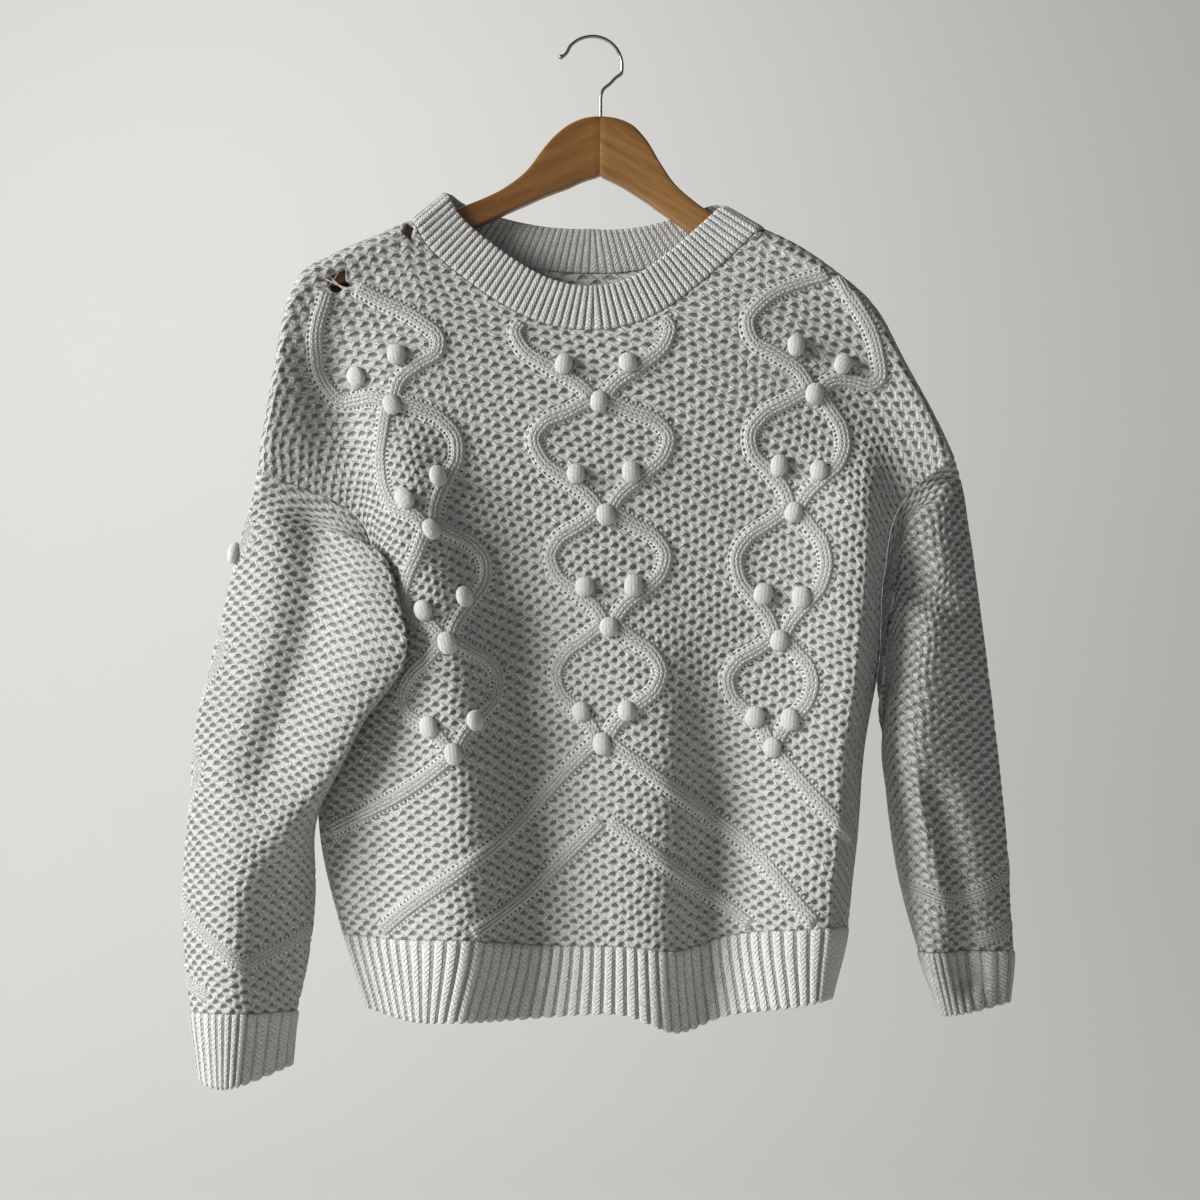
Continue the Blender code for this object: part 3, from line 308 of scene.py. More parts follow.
class BodyForm:
    """The smooth outer surface of the pullover's body, front and back."""

    half_width = 300.0
    shoulder_point = 450.0
    shoulder_rise = 118.0
    shoulder_bow = 1.5
    underarm = 210.0
    neck_half_width = 110.0
    front_neck = 450.0
    back_neck = 487.0
    neck_curve = 2.6
    roll = 10.0
    drop_below_roll = 110.0
    roll_fade = 60.0
    neck_wrap = 1.6
    back_forward = -6.0
    back_evens_out = 160.0
    back_powers = (1.0, 1.7)
    left_turn = 90.0
    right_turn = 30.0
    marked_wales = np.array([-300.0, -235.0, -166.0, 0.0, 166.0, 235.0, 300.0])
    gape = ((210, 0), (228, 6), (311, 16), (394, 14), (450, 0))
    courses = (
        Course(-60, (-166, -729), (-134, -740), (-106, -742), (14, -734),
               (136, -732), (162, -727), (181, -719), 17, 44),
        Course(0, (-184, -672), (-142, -676), (-94, -677), (15, -681),
               (128, -670), (161, -669), (193, -666), 18, 46),
        Course(72, (-201, -598), (-150, -603), (-98, -608), (14, -606),
               (135, -600), (168, -600), (202, -603), 18, 46),
        Course(144, (-200, -532), (-152, -539), (-101, -534), (11, -526),
               (139, -529), (172, -532), (207, -536), 17, 45),
        Course(228, (-184, -472), (-150, -463), (-106, -450), (16, -438),
               (144, -448), (182, -452), (218, -470), 15, 44),
        Course(311, (-162, -422), (-147, -395), (-119, -365), (13, -354),
               (155, -352), (193, -362), (222, -403), 17, 42),
        Course(394, (-178, -354), (-172, -310), (-148, -272), (8, -270),
               (170, -264), (208, -286), (238, -345), 23, 40),
        Course(450, (-248, -324), (-214, -248), (-173, -215), (4, -219),
               (178, -210), (227, -257), (275, -315), 30, 38),
        Course(500, (-280, -294), (-234, -174), (-192, -167), (3, -168),
               (182, -177), (236, -216), (309, -286), 28, 34),
        Course(530, (-298, -275), (-244, -142), (-199, -139), (2, -138),
               (190, -152), (242, -190), (332, -268), 30, 30),
    )
    front_folds = (
        Fold(((-147, -262), (-130, -376), (-106, -452), (-98, -526), (-92, -616),
              (-98, -742)), 38, 34, 21, 90, 0),
        Fold(((-60, -324), (-52, -436), (-45, -534), (-36, -609), (-40, -684),
              (-51, -750)), 34, 40, -11, 130, 0),
        Fold(((39, -392), (57, -496), (50, -609), (56, -676), (60, -750)), 48, 26, 8, 120, 0),
        Fold(((84, -436), (88, -512), (96, -586), (90, -646), (84, -750)), 22, 34, -19, 150, 0),
        Fold(((206, -290), (205, -422), (197, -526), (183, -616), (170, -722)), 44, 18, 17, 60, 0),
        Fold(((-204, -200), (-184, -286), (-168, -322), (-150, -390)), 24, 24, -9, 60, 60),
        Fold(((-206, -215), (-204, -260), (-202, -300), (-198, -340), (-196, -400)), 18, 24, -20, 40, 20),
        Fold(((-165, -560), (-160, -640), (-150, -700)), 22, 22, -5, 50, 40),
    )
    nudges = (
        Nudge(212, -205, 34, 38, 5.0, 3.6),
        Nudge(-218, -200, 26, 34, -3.0, 1.0),
        Nudge(-142, -140, 17, 17, 6.0, 5.5),
    )
    front_nudges = (
        Nudge(66, -726, 28, 60, 0.0, -15.5),
        Nudge(188, -735, 26, 34, 1.0, -5.0),
        Nudge(191, -680, 18, 30, 3.0, 0.0),
    )
    back_folds = (
        Fold(((-90, -330), (-100, -520), (-95, -750)), 40, 40, -7, 120, 0),
        Fold(((30, -380), (20, -560), (30, -750)), 36, 36, 6, 120, 0),
        Fold(((120, -330), (125, -520), (118, -750)), 38, 38, -7, 120, 0),
    )

    def __init__(self) -> None:
        """Turns the courses into arrays."""
        self.heights = np.array([course.height for course in self.courses], float)
        self.seen = np.array([list(course[1:8]) for course in self.courses], float)
        self.standing = np.array([course[8:] for course in self.courses], float)

    def shoulder_height(self, wale: Array) -> Array:
        """The height of the shoulder line at a wale: straight with a slight bow, level across the neck."""
        out = (self.half_width - np.maximum(np.abs(wale), self.neck_half_width)) / self.half_width
        part = out / (1 - self.neck_half_width / self.half_width)
        return self.shoulder_point + out * self.shoulder_rise + self.shoulder_bow * 4 * part * (1 - part)

    def neck_height(self, wale: Array, is_front: bool) -> Array:
        """The neckline's height at a wale: a power curve up from its lowest point to the shoulder line."""
        low = self.front_neck if is_front else self.back_neck
        top = self.shoulder_height(np.array(self.neck_half_width))
        return low + (top - low) * (np.abs(wale) / self.neck_half_width) ** self.neck_curve

    def top_height(self, wale: Array, is_front: bool) -> Array:
        """The panel's upper edge at a wale: the neckline, and beside it the shoulder line."""
        at_neck = self.neck_height(np.minimum(np.abs(wale), self.neck_half_width), is_front)
        return np.where(np.abs(wale) < self.neck_half_width, at_neck, self.shoulder_height(wale))

    def seen_place(self, wale: Array, height: Array, is_front: bool) -> Array:
        """Where a stitch is seen: cubic up the courses, then cubic across the wales.

        Args:
            wale: places across, shape (m,).
            height: heights up the panel, shape (m,).
            is_front: the front's wales, or the back's, which hang evenly below the shoulders.

        Returns:
            Places across and up, shape (m, 2).
        """
        rows = smooth(self.heights, self.seen.reshape(len(self.courses), -1), height).reshape(-1, 7, 2)
        seen = smooth_rows(self.marked_wales, rows, wale)
        seen = seen + sum(nudge.push(seen) for nudge in self.nudges)
        if is_front:
            return seen + sum(nudge.push(seen) for nudge in self.front_nudges)
        share = (wale / self.half_width)[:, None]
        side = np.where(share < 0, rows[:, 0], rows[:, 6])
        even = rows[:, 3] + (side - rows[:, 3]) * np.abs(share) ** np.array(self.back_powers)
        drop = self.shoulder_height(wale) - height
        return seen + (even - seen) * ease(drop / self.back_evens_out)[:, None]

    def point(self, wale: Array, height: Array, is_front: bool) -> Array:
        """The outer surface at (wale, height).

        Near the shoulder the cloth rolls over the hanger on a quarter circle. Below, it eases over
        to how far its course stands forward, turned back towards the side seams, with the folds added.

        Args:
            wale: places across, any shape.
            height: heights up the panel, of the same shape.
            is_front: the front or the back.

        Returns:
            Points, of that shape by 3.
        """
        wale, height = np.broadcast_arrays(np.asarray(wale, float), np.asarray(height, float))
        shape = wale.shape
        wale, height = wale.ravel(), height.ravel()
        top = self.shoulder_height(wale)
        drop = top - height
        arc = self.roll * math.pi / 2
        seen = self.seen_place(wale, height, is_front)
        crest = self.seen_place(wale, top, is_front)
        below = self.seen_place(wale, top - np.clip(drop, -arc, arc), is_front)
        foot = self.seen_place(wale, top - arc, is_front)
        angle = np.clip(drop / self.roll, -math.pi / 2, math.pi / 2)
        rolled = crest + unit(foot - crest) * (self.roll * (1 - np.cos(angle)))[:, None]
        wrapped = drop + self.neck_wrap * (self.neck_half_width - np.abs(wale)).clip(0)
        angle = np.clip(wrapped / self.roll, -math.pi / 2, math.pi / 2)
        seen = seen + (rolled - below) * (1 - ease((drop - arc) / self.roll_fade))[:, None]
        across, up = seen[:, 0], seen[:, 1]
        side, front = smooth(self.heights, self.standing, height).T
        at, opening = np.array(self.gape, float).T
        gape = smooth(at, opening, height.clip(at[0], at[-1]))[:, 0]
        turn_length = np.where(wale < 0, self.left_turn, self.right_turn)
        turn = np.sin(math.pi / 2 * np.clip((self.half_width - np.abs(wale)) / turn_length, -1, 1))
        folds = sum(fold.lift(across, up) for fold in (self.front_folds if is_front else self.back_folds))
        if is_front:
            standing = side + gape + (front - side - gape) * turn + folds * turn
            over_hanger = BOW.forward(across) + self.roll * np.sin(angle)
        else:
            standing = side - gape + (self.back_forward - side + gape) * turn + folds * turn
            over_hanger = BOW.forward(across) - self.roll * np.sin(angle)
        hung = ease(drop / self.drop_below_roll)
        forward = over_hanger * (1 - hung) + standing * hung
        return EYE.placed(across, up, forward).reshape(*shape, 3)


BODY = BodyForm()


class Ring(NamedTuple):
    """One ring of a sleeve: (across, up, forward) of its outer fold, front, crest, underarm line and back."""

    along: float
    outer: tuple
    front: tuple
    crest: tuple
    underarm: tuple
    back: tuple


@dataclass(frozen=True)
class SleeveForm:
    """The smooth outer surface of a sleeve, from its armhole seam to its cuff's end."""

    side: Side
    rings: tuple
    folds: tuple = ()
    stations: tuple = (0.0, 0.15, 0.31, 0.5, 0.76)
    round: float = 320.0
    clear: float = 3.0
    fold_start: float = 36.0
    fold_side: float = 1.6

    @property
    def length(self) -> float:
        """How far down the sleeve its cuff is sewn on."""
        return self.rings[-2].along

    @property
    def end(self) -> float:
        """How far down the sleeve its cuff ends."""
        return self.rings[-1].along

    def has(self, rounded: Array, along: Array) -> Array:
        """Whether a band may run at a length round the sleeve and down it: clear of its two ends."""
        return (along > self.clear) & (along < self.length - self.clear) & (np.abs(rounded) < self.round)

    def place(self, rounded: Array, along: Array) -> Array:
        """The outer surface at a length round the sleeve and down it."""
        return self.point(rounded / self.round, along)

    def armhole(self, turn: Array) -> Array:
        """The armhole seam: down the front's edge from the shoulder point, and up the back's edge."""
        turn = np.mod(turn, 1.0)
        down = 1 - np.abs(1 - 2 * turn)
        height = BODY.shoulder_point + (BODY.underarm - BODY.shoulder_point) * down
        wale = np.full_like(height, self.side.value * BODY.half_width)
        front, back = BODY.point(wale, height, True), BODY.point(wale, height, False)
        return np.where((turn <= 0.5)[..., None], front, back)

    def point(self, turn: Array, along: Array) -> Array:
        """The outer surface: a closed cubic round each ring, then a cubic from ring to ring.

        The folds show on the front half alone, and ease in below the armhole.

        Args:
            turn: turns round the sleeve, 0 at its outer fold and 0.5 at the underarm line.
            along: distances down the sleeve, of the same shape.

        Returns:
            Points, of that shape by 3.
        """
        turn, along = np.broadcast_arrays(np.asarray(turn, float), np.asarray(along, float))
        shape = turn.shape
        turn, along = turn.ravel(), along.ravel()
        seen = np.array([ring[1:] for ring in self.rings], float)
        places = EYE.placed(seen[..., 0], seen[..., 1], seen[..., 2])
        marks = np.array(self.stations)
        marks = np.concatenate([marks[-2:] - 1, marks, marks[:2] + 1])
        rows = [self.armhole(turn)]
        for ring in places:
            closed = np.concatenate([ring[-2:], ring, ring[:2]])
            rows.append(smooth(marks, closed, np.mod(turn, 1.0)))
        down = np.array([0.0] + [ring.along for ring in self.rings])
        points = smooth_rows(down, np.stack(rows, axis=1), along)
        if self.folds:
            front = np.sin(2 * math.pi * turn).clip(0)
            shown = ease(along / self.fold_start) * ease(front * self.fold_side)
            points[:, 1] -= shown * sum(fold.lift(points[:, 0], points[:, 2]) for fold in self.folds)
        return points.reshape(*shape, 3)


LEFT_SLEEVE = SleeveForm(
    Side.LEFT,
    (
        Ring(28, (-254, -356, 28), (-212, -365, 44), (-152, -393, 54), (-191, -493, 20), (-216, -414, -2)),
        Ring(62, (-261, -382, 25), (-216, -399, 54), (-139, -433, 70), (-197, -504, 21), (-224, -444, -4)),
        Ring(100, (-269, -417, 22), (-220, -433, 56), (-138, -463, 72), (-202, -520, 20), (-235, -470, -6)),
        Ring(145, (-281, -466, 20), (-231, -482, 56), (-165, -500, 68), (-205, -541, 16), (-244, -508, -8)),
        Ring(190, (-293, -518, 18), (-244, -530, 54), (-188, -542, 62), (-208, -567, 11), (-254, -545, -9)),
        Ring(245, (-298, -575, 16), (-257, -578, 52), (-216, -580, 58), (-206, -598, 6), (-257, -580, -10)),
        Ring(290, (-303, -622, 15), (-272, -624, 50), (-242, -622, 55), (-204, -632, 3), (-261, -624, -10)),
        Ring(330, (-304, -662, 14), (-280, -665, 47), (-252, -665, 52), (-206, -665, 2), (-262, -665, -10)),
        Ring(370, (-302, -703, 14), (-280, -705, 45), (-255, -705, 50), (-212, -703, 2), (-262, -703, -9)),
        Ring(400, (-298, -730, 14), (-280, -732, 41), (-256, -732, 46), (-218, -729, 4), (-262, -730, -7)),
        Ring(453, (-291, -783, 12), (-278, -789, 38), (-261, -787, 42), (-223, -771, 4), (-261, -782, -6)),
    ),
    (
        Fold(((-196, -330), (-196, -380), (-198, -430), (-210, -480), (-226, -530),
              (-238, -600)), 22, 32, -17, 30, 60),
        Fold(((-238, -560), (-232, -640), (-240, -720)), 18, 16, -5, 50, 60),
    ),
)
RIGHT_SLEEVE = SleeveForm(
    Side.RIGHT,
    (
        Ring(28, (280, -333, 27), (260, -346, 44), (238, -373, 42), (220, -508, 20), (256, -422, -4)),
        Ring(60, (285, -362, 27), (264, -380, 47), (234, -414, 38), (220, -518, 18), (256, -452, -5)),
        Ring(96, (290, -399, 26), (262, -422, 49), (232, -459, 36), (222, -528, 14), (258, -474, -6)),
        Ring(140, (298, -466, 24), (256, -482, 49), (226, -506, 35), (222, -545, 10), (260, -496, -8)),
        Ring(185, (304, -519, 21), (254, -530, 49), (229, -532, 36), (224, -564, 6), (262, -538, -9)),
        Ring(235, (310, -572, 20), (260, -574, 47), (238, -574, 37), (226, -588, 3), (264, -575, -10)),
        Ring(280, (314, -616, 19), (268, -618, 44), (245, -618, 36), (232, -626, 2), (270, -618, -10)),
        Ring(318, (316, -654, 18), (275, -656, 41), (250, -656, 35), (240, -658, 1), (275, -656, -10)),
        Ring(348, (318, -684, 16), (279, -686, 34), (256, -686, 36), (248, -684, 2), (279, -684, -8)),
        Ring(398, (315, -724, 13), (286, -732, 33), (268, -734, 33), (265, -729, 6), (286, -729, -6)),
    ),
    (
        Fold(((214, -372), (236, -404), (258, -440)), 16, 20, -10, 24, 24),
        Fold(((243, -530), (255, -574), (264, -610), (271, -641), (275, -681),
              (279, -719)), 9, 14, -8, 40, 20),
    ),
)


@dataclass(frozen=True)
class NeckForm:
    """The neckband's smooth outer surface."""

    tall: float = 34.0
    inset_left: float = 26.0
    inset_right: float = 29.0
    inset_power: float = 0.7
    lean: float = 5.0
    back_lean: float = 0.4
    gap: float = 0.3
    ribs: int = 110

    def band(self, part: Array, depth: Array) -> Array:
        """The surface at shares of the way round by length: the front from left to right, then the back.

        Args:
            part: shares round the band, the same in every row.
            depth: distances up from the neckline, the same in every column but for the scallops.

        Returns:
            Points, of their shape by 3.
        """
        run = np.linspace(-1, 1, SEAM_POINTS) * BODY.neck_half_width
        wales = np.concatenate([run, run[::-1]])
        is_front = np.arange(len(wales)) < len(run)
        foot = self.point(wales, is_front, np.array([0.5]))[0]
        lengths = lengths_along(foot)
        at = part[0] * lengths[-1]
        front = at <= lengths[len(run) - 1]
        return self.point(np.interp(at, lengths, wales), front, depth[:, :1] / self.tall)

    def point(self, wales: Array, is_front: Array, rise: Array) -> Array:
        """From the neckline the band stands up and leans in over the hanger's arms.

        Args:
            wales: where round the neckline, shape (m,).
            is_front: whether each stands on the front's neckline, shape (m,).
            rise: the shares of the band's height, shape (n,) or (n, 1).

        Returns:
            Points, shape (n, m, 3).
        """
        front = BODY.point(wales, BODY.neck_height(wales, True), True)
        back = BODY.point(wales, BODY.neck_height(wales, False), False)
        foot = np.where(is_front[:, None], front, back)
        share = np.abs(wales) / BODY.neck_half_width
        inward = np.where(wales < 0, self.inset_left, self.inset_right) * share**self.inset_power
        upward = np.sqrt(self.tall**2 - inward**2)
        bow = BOW.forward(foot[:, 0]) - BOW.forward(np.abs(foot[:, 0]) - inward)
        lean = np.where(is_front, self.lean, -self.lean * self.back_lean) * (1 - share**2) + bow
        way = np.stack([-np.sign(wales) * inward, lean, upward], axis=1)
        return foot + unit(way) * self.gap + way * np.asarray(rise).reshape(-1, 1, 1)


NECK = NeckForm()


# ---- meshes


def in_scene(name: str, data: bpy.types.ID) -> Piece:
    """A new object in the scene, at the origin."""
    made = bpy.data.objects.new(name, data)
    bpy.context.scene.collection.objects.link(made)
    return made


@dataclass
class MeshDraft:
    """Points, faces and stitch coordinates gathered before they become one mesh."""

    name: str
    points: list = field(default_factory=list)
    faces: list = field(default_factory=list)
    stitches: list = field(default_factory=list)
    joins: list = field(default_factory=list)
    count: int = 0

    def add(self, points: Array, stitches: Array) -> Array:
        """Adds a grid or a row of points in millimetres.

        Args:
            points: any shape by 3.
            stitches: the same shape by 2, the stitch coordinates of each point.

        Returns:
            Their indices, in the same shape.
        """
        flat = points.reshape(-1, 3)
        index = np.arange(self.count, self.count + len(flat)).reshape(points.shape[:-1])
        self.points.append(flat)
        self.stitches.append(stitches.reshape(-1, 2))
        self.count += len(flat)
        return index

    def quads(self, index: Array, flip: bool, keep: Array | None = None) -> None:
        """Covers a grid of indices with quads, all of them or those marked in keep."""
        made = np.stack([index[:-1, :-1], index[:-1, 1:], index[1:, 1:], index[1:, :-1]], axis=-1)
        made = made[keep] if keep is not None else made.reshape(-1, 4)
        self.faces.append(made[:, ::-1] if flip else made)

    def rim(self, fine: Array, coarse: Array, flip: bool) -> None:
        """Joins a fine row of indices to a coarse one with a fan of triangles for each coarse step."""
        share = (len(fine) - 1) // (len(coarse) - 1)
        step = np.arange(len(fine) - 1)
        near = coarse[(step + share - share // 2) // share]
        fans = np.stack([fine[:-1], fine[1:], near], axis=1)
        middle = fine[np.arange(len(coarse) - 1) * share + share // 2]
        spans = np.stack([middle, coarse[1:], coarse[:-1]], axis=1)
        made = np.concatenate([fans, spans])
        self.faces.append(made[:, ::-1] if flip else made)

    def cap(self, ring: Array, middle: Array, flip: bool) -> None:
        """Closes a ring of indices, whose last repeats its first, with a fan round one new point."""
        stitch = self.stitches[-1].mean(axis=0)
        centre = self.add(middle.reshape(1, 3), stitch.reshape(1, 2))
        made = np.stack([ring[:-1], ring[1:], np.repeat(centre, len(ring) - 1)], axis=1)
        self.faces.append(made[:, ::-1] if flip else made)

    def closed(self, index: Array) -> None:
        """Joins a grid's last column to its first, as where a tube closes."""
        self.joins.append((index[:, 0], index[:, -1]))

    def build(self) -> Piece:
        """Makes the object at the origin, smooth, with its stitch coordinates as its UV map."""
        points = np.concatenate(self.points) * MM
        stitches = np.concatenate(self.stitches)
        joined = np.arange(len(points))
        for kept, dropped in self.joins:
            joined[dropped] = kept
        used = np.zeros(len(points), bool)
        for block in self.faces:
            used[joined[block]] = True
        renumber = np.cumsum(used) - 1
        faces = [face for block in self.faces for face in renumber[joined[block]].tolist()]
        mesh = bpy.data.meshes.new(self.name)
        mesh.from_pydata(points[used].tolist(), [], faces)
        corners = np.concatenate([block.ravel() for block in self.faces])
        layer = mesh.uv_layers.new(name="stitches")
        layer.data.foreach_set("uv", stitches[corners].astype(np.float32).ravel())
        mesh.shade_smooth()
        return in_scene(self.name, mesh)


def dressed(piece: Piece, material: Material, slot: Slot, *nodes: str) -> Piece:
    """Gives a finished piece its material, sets it to ride on the root, and hides the CAD nodes that it stands
    for, if any.

    Args:
        piece: the finished object.
        material: its finish.
        slot: the record's slot of that finish; not used.
        nodes: the CAD nodes that it replaces, if any.

    Returns:
        The same object.
    """
    piece.data.materials.append(material)
    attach(piece, "root")
    if nodes:
        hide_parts(*nodes)
    log.info("%s: %d faces", piece.name, len(piece.data.polygons))
    return piece


# ---- stitches


@dataclass(frozen=True)
class Wave:
    """One slow wave through the knitting, which sways its stitches."""

    size: float
    across: float
    up: float
    start: float

    def at(self, across: Array, up: Array) -> Array:
        """The wave at places in the cloth: its size times a sine of across and up over its two lengths."""
        return self.size * np.sin(2 * math.pi * (across / self.across + up / self.up) + self.start)


@dataclass(frozen=True)
class Honeycomb:
    """The ground stitch: staggered rows of six-sided cells, each with a pit under the strand at its top."""

    column: float = 13.6
    row: float = 8.0
    depth: float = 1.9
    steep: float = 2.5
    lean: float = 0.42
    strand: float = 0.26
    strand_slope: float = 0.2
    pit_edge: float = 0.06
    pit_slope: float = 0.66
    sway_across: tuple = (Wave(0.08, 61, 43, 0.0), Wave(0.03, 27, -33, 1.0))
    sway_up: tuple = (Wave(0.08, 39, 71, 2.0), Wave(0.03, -31, 37, 0.5))

    def stitches(self, across: Array, up: Array) -> Array:
        """Stitch coordinates of places in the cloth: columns across and rows up, swayed by the waves."""
        columns = across / self.column + sum(wave.at(across, up) for wave in self.sway_across)
        rows = up / self.row + sum(wave.at(across, up) for wave in self.sway_up)
        return stacked(columns, rows)

    def relief(self, stitches: Array) -> Array:
        """How far the cloth stands: level on the strands and eased down into each cell's pit.

        A cell's own measure is two and a half times the share of a column across plus one and a half
        times the share of a row up from its middle: 1 on its slanted sides. The pit is set above the
        middle, under the top strand.
        """
        off = np.mod(stitches + 0.5, 1.0) - 0.5
        other = np.mod(stitches, 1.0) - 0.5
        first = self.steep * np.abs(off[..., 0]) + (4 - self.steep) * np.abs(off[..., 1])
        up = np.where(first < 1, off[..., 1], other[..., 1])
        measure = np.minimum(first, 2 - first) - self.lean * 2 * up
        sides = ease((measure - self.pit_edge) / self.pit_slope)
        raised = np.maximum(sides, ease((up - self.strand) / self.strand_slope))
        return -self.depth * (1 - raised)


@dataclass(frozen=True)
class Ribbing:
    """Plain ribs: one rounded wale and one groove in turn."""

    height: float = 1.6
    groove: float = 0.3
    half_wale: float = 0.43

    def relief(self, ribs: Array) -> Array:
        """How far the ribbing stands at a place counted in ribs, with a wale's crest in each one's middle."""
        off = np.abs(np.mod(ribs, 1.0) - 0.5)
        wale = np.sqrt((1 - (off / self.half_wale) ** 2).clip(0))
        return self.height * wale - self.groove * (wale == 0)


# ---- finishes


@dataclass(frozen=True)
class Cloud:
    """A noise texture's scale for each unit of its coordinates, its detail and its roughness."""

    scale: float
    detail: float = 2.0
    roughness: float = 0.5


@dataclass
class Graph:
    """Short calls that add nodes to one material."""

    material: Material

    @classmethod
    def named(cls, name: str) -> "Graph":
        """Starts a new material."""
        made = bpy.data.materials.new(name)
        made.use_nodes = True
        return cls(made)

    @property
    def shader(self) -> bpy.types.Node:
        """The material's own surface shader."""
        return self.material.node_tree.nodes["Principled BSDF"]

    def levels(self, values: tuple) -> None:
        """Sets the shader's own sockets from pairs of a socket's name and its value."""
        for name, value in values:
            self.shader.inputs[name].default_value = value

    def place(self) -> Socket:
        """Object coordinates."""
        return self.node("ShaderNodeTexCoord").outputs["Object"]

    def node(self, kind: str, **settings: object) -> bpy.types.Node:
        """Adds a node and sets its properties."""
        made = self.material.node_tree.nodes.new(kind)
        for name, value in settings.items():
            setattr(made, name, value)
        return made

    def link(self, value: Socket | float | tuple, socket: Socket) -> None:
        """Feeds a socket from another one, or sets its value."""
        if isinstance(value, bpy.types.NodeSocket):
            self.material.node_tree.links.new(value, socket)
        else:
            socket.default_value = value

    def math(self, operation: str, *values: Socket | float) -> Socket:
        """One Math node's result."""
        made = self.node("ShaderNodeMath", operation=operation)
        for value, socket in zip(values, made.inputs):
            self.link(value, socket)
        return made.outputs[0]

    def times(self, first: Socket | float, second: Socket | float) -> Socket:
        """The product of two values."""
        return self.math("MULTIPLY", first, second)

    def plus(self, first: Socket | float, second: Socket | float) -> Socket:
        """The sum of two values."""
        return self.math("ADD", first, second)

    def less(self, first: Socket | float, second: Socket | float) -> Socket:
        """The first value less the second."""
        return self.math("SUBTRACT", first, second)

    def times_plus(self, first: Socket, second: Socket | float, third: Socket | float) -> Socket:
        """The product of two values, plus a third."""
        return self.math("MULTIPLY_ADD", first, second, third)

    def most(self, first: Socket, second: Socket | float) -> Socket:
        """The larger of two values."""
        return self.math("MAXIMUM", first, second)

    def size(self, value: Socket) -> Socket:
        """A value without its sign."""
        return self.math("ABSOLUTE", value)

    def wave(self, steps: Socket) -> Socket:
        """A sine that runs once for each whole step."""
        return self.math("SINE", self.times(steps, 2 * math.pi))

    def off(self, value: Socket | float) -> Socket:
        """How far a value is from the middle of its whole step, 0 to a half."""
        return self.size(self.less(self.math("FRACT", value), 0.5))

    def signed(self, value: Socket, start: float) -> Socket:
        """How far a value plus a start is from the middle of its whole step, below or above."""
        return self.less(self.math("FRACT", self.plus(value, start)), 0.5)

    def either(self, choice: Socket, yes: Socket, no: Socket) -> Socket:
        """One value where the choice is 1, and the other where it is 0."""
        return self.times_plus(self.less(yes, no), choice, no)

    def eased(self, value: Socket | float, low: float, high: float) -> Socket:
        """Zero below low and one above high, eased between."""
        made = self.node("ShaderNodeMapRange", interpolation_type="SMOOTHSTEP")
        for place, number in zip((0, 1, 2, 3, 4), (value, low, high, 0.0, 1.0)):
            self.link(number, made.inputs[place])
        return made.outputs[0]

    def cloud(self, coordinates: Socket, kind: "Cloud") -> bpy.types.Node:
        """A noise texture on coordinates."""
        made = self.node("ShaderNodeTexNoise")
        self.link(coordinates, made.inputs["Vector"])
        for name, value in (("Scale", kind.scale), ("Detail", kind.detail), ("Roughness", kind.roughness)):
            made.inputs[name].default_value = value
        return made

    def noise(self, coordinates: Socket, kind: "Cloud") -> Socket:
        """A noise texture's value."""
        return self.cloud(coordinates, kind).outputs[0]

    def mixed(self, share: Socket | float, first: Socket | tuple, second: Socket | tuple) -> Socket:
        """Two colours mixed."""
        made = self.node("ShaderNodeMix", data_type="RGBA")
        self.link(share, made.inputs[0])
        self.link(first, made.inputs[6])
        self.link(second, made.inputs[7])
        return made.outputs[2]

    def bumped(
        self, height: Socket, distance: float, strength: float, before: Socket | None = None
    ) -> Socket:
        """A bump's normal, distance in metres."""
        made = self.node("ShaderNodeBump")
        made.inputs["Distance"].default_value = distance
        made.inputs["Strength"].default_value = strength
        self.link(height, made.inputs["Height"])
        if before is not None:
            self.link(before, made.inputs["Normal"])
        return made.outputs[0]


class Stitch(Enum):
    """What a yarn finish draws on its stitch coordinates."""

    HONEYCOMB = "honeycomb"
    RIB = "rib"
    CABLE = "cable"
    BOBBLE = "bobble"


@dataclass(frozen=True)
class HoneycombDrawing:
    """Where a cell's strands and slit are drawn, from none to full, and how strongly."""

    top: tuple = (0.36, 0.46)
    strand: tuple = (0.62, 0.92)
    slit_aside: float = 0.03
    slit_reach: tuple = (0.34, 0.92)
    slit_foot: tuple = (-0.02, 0.16)
    least_room: float = 0.05
    twist_along: float = 2.2
    twist_across: float = 1.6
    # painted shade: how much of the dark pit colour goes into the slit under each top strand, and into the
    # floor between the strands
    slit_painted_shade: float = 0.80
    floor_painted_shade: float = 0.20
    slit_depth: float = 0.8
    ply_height: float = 0.12


@dataclass(frozen=True)
class RibDrawing:
    """How a rib's legs and the bumps in its grooves are drawn."""

    slant: float = 2.6
    groove: tuple = (0.34, 0.45)
    # painted shade: how much of the dark pit colour goes into the grooves, varied along them by the bumps
    groove_painted_shade: float = 0.28
    bump_painted_shade: float = 0.10
    leg_height: float = 0.22
    bump_height: float = 0.05


@dataclass(frozen=True)
class CableDrawing:
    """How a cable's wales, foot and eyelets are drawn, places counted in wales from its middle."""

    slant: float = 1.3
    side: tuple = (1.4, 1.55)
    groove: tuple = (0.30, 0.5)
    eyelet_off: float = 2.05
    eyelet_narrow: float = 2.0
    eyelet_short: float = 2.2
    eyelet: tuple = (0.35, 0.95)
    foot_off: float = 1.65
    foot: tuple = (0.05, 0.25)
    # painted shade: how much of the dark pit colour goes into the grooves between wales, the band's foot and
    # the gaps between legs; the eyelets take all of it
    groove_painted_shade: float = 0.16
    foot_painted_shade: float = 0.22
    leg_painted_shade: float = 0.10
    leg_height: float = 0.30


@dataclass(frozen=True)
class BobbleDrawing:
    """How a bobble's wales are drawn."""

    wale_height: float = 0.04
    leg_height: float = 0.03
    # painted shade: a faint darkening between the wales
    shade: float = 0.01


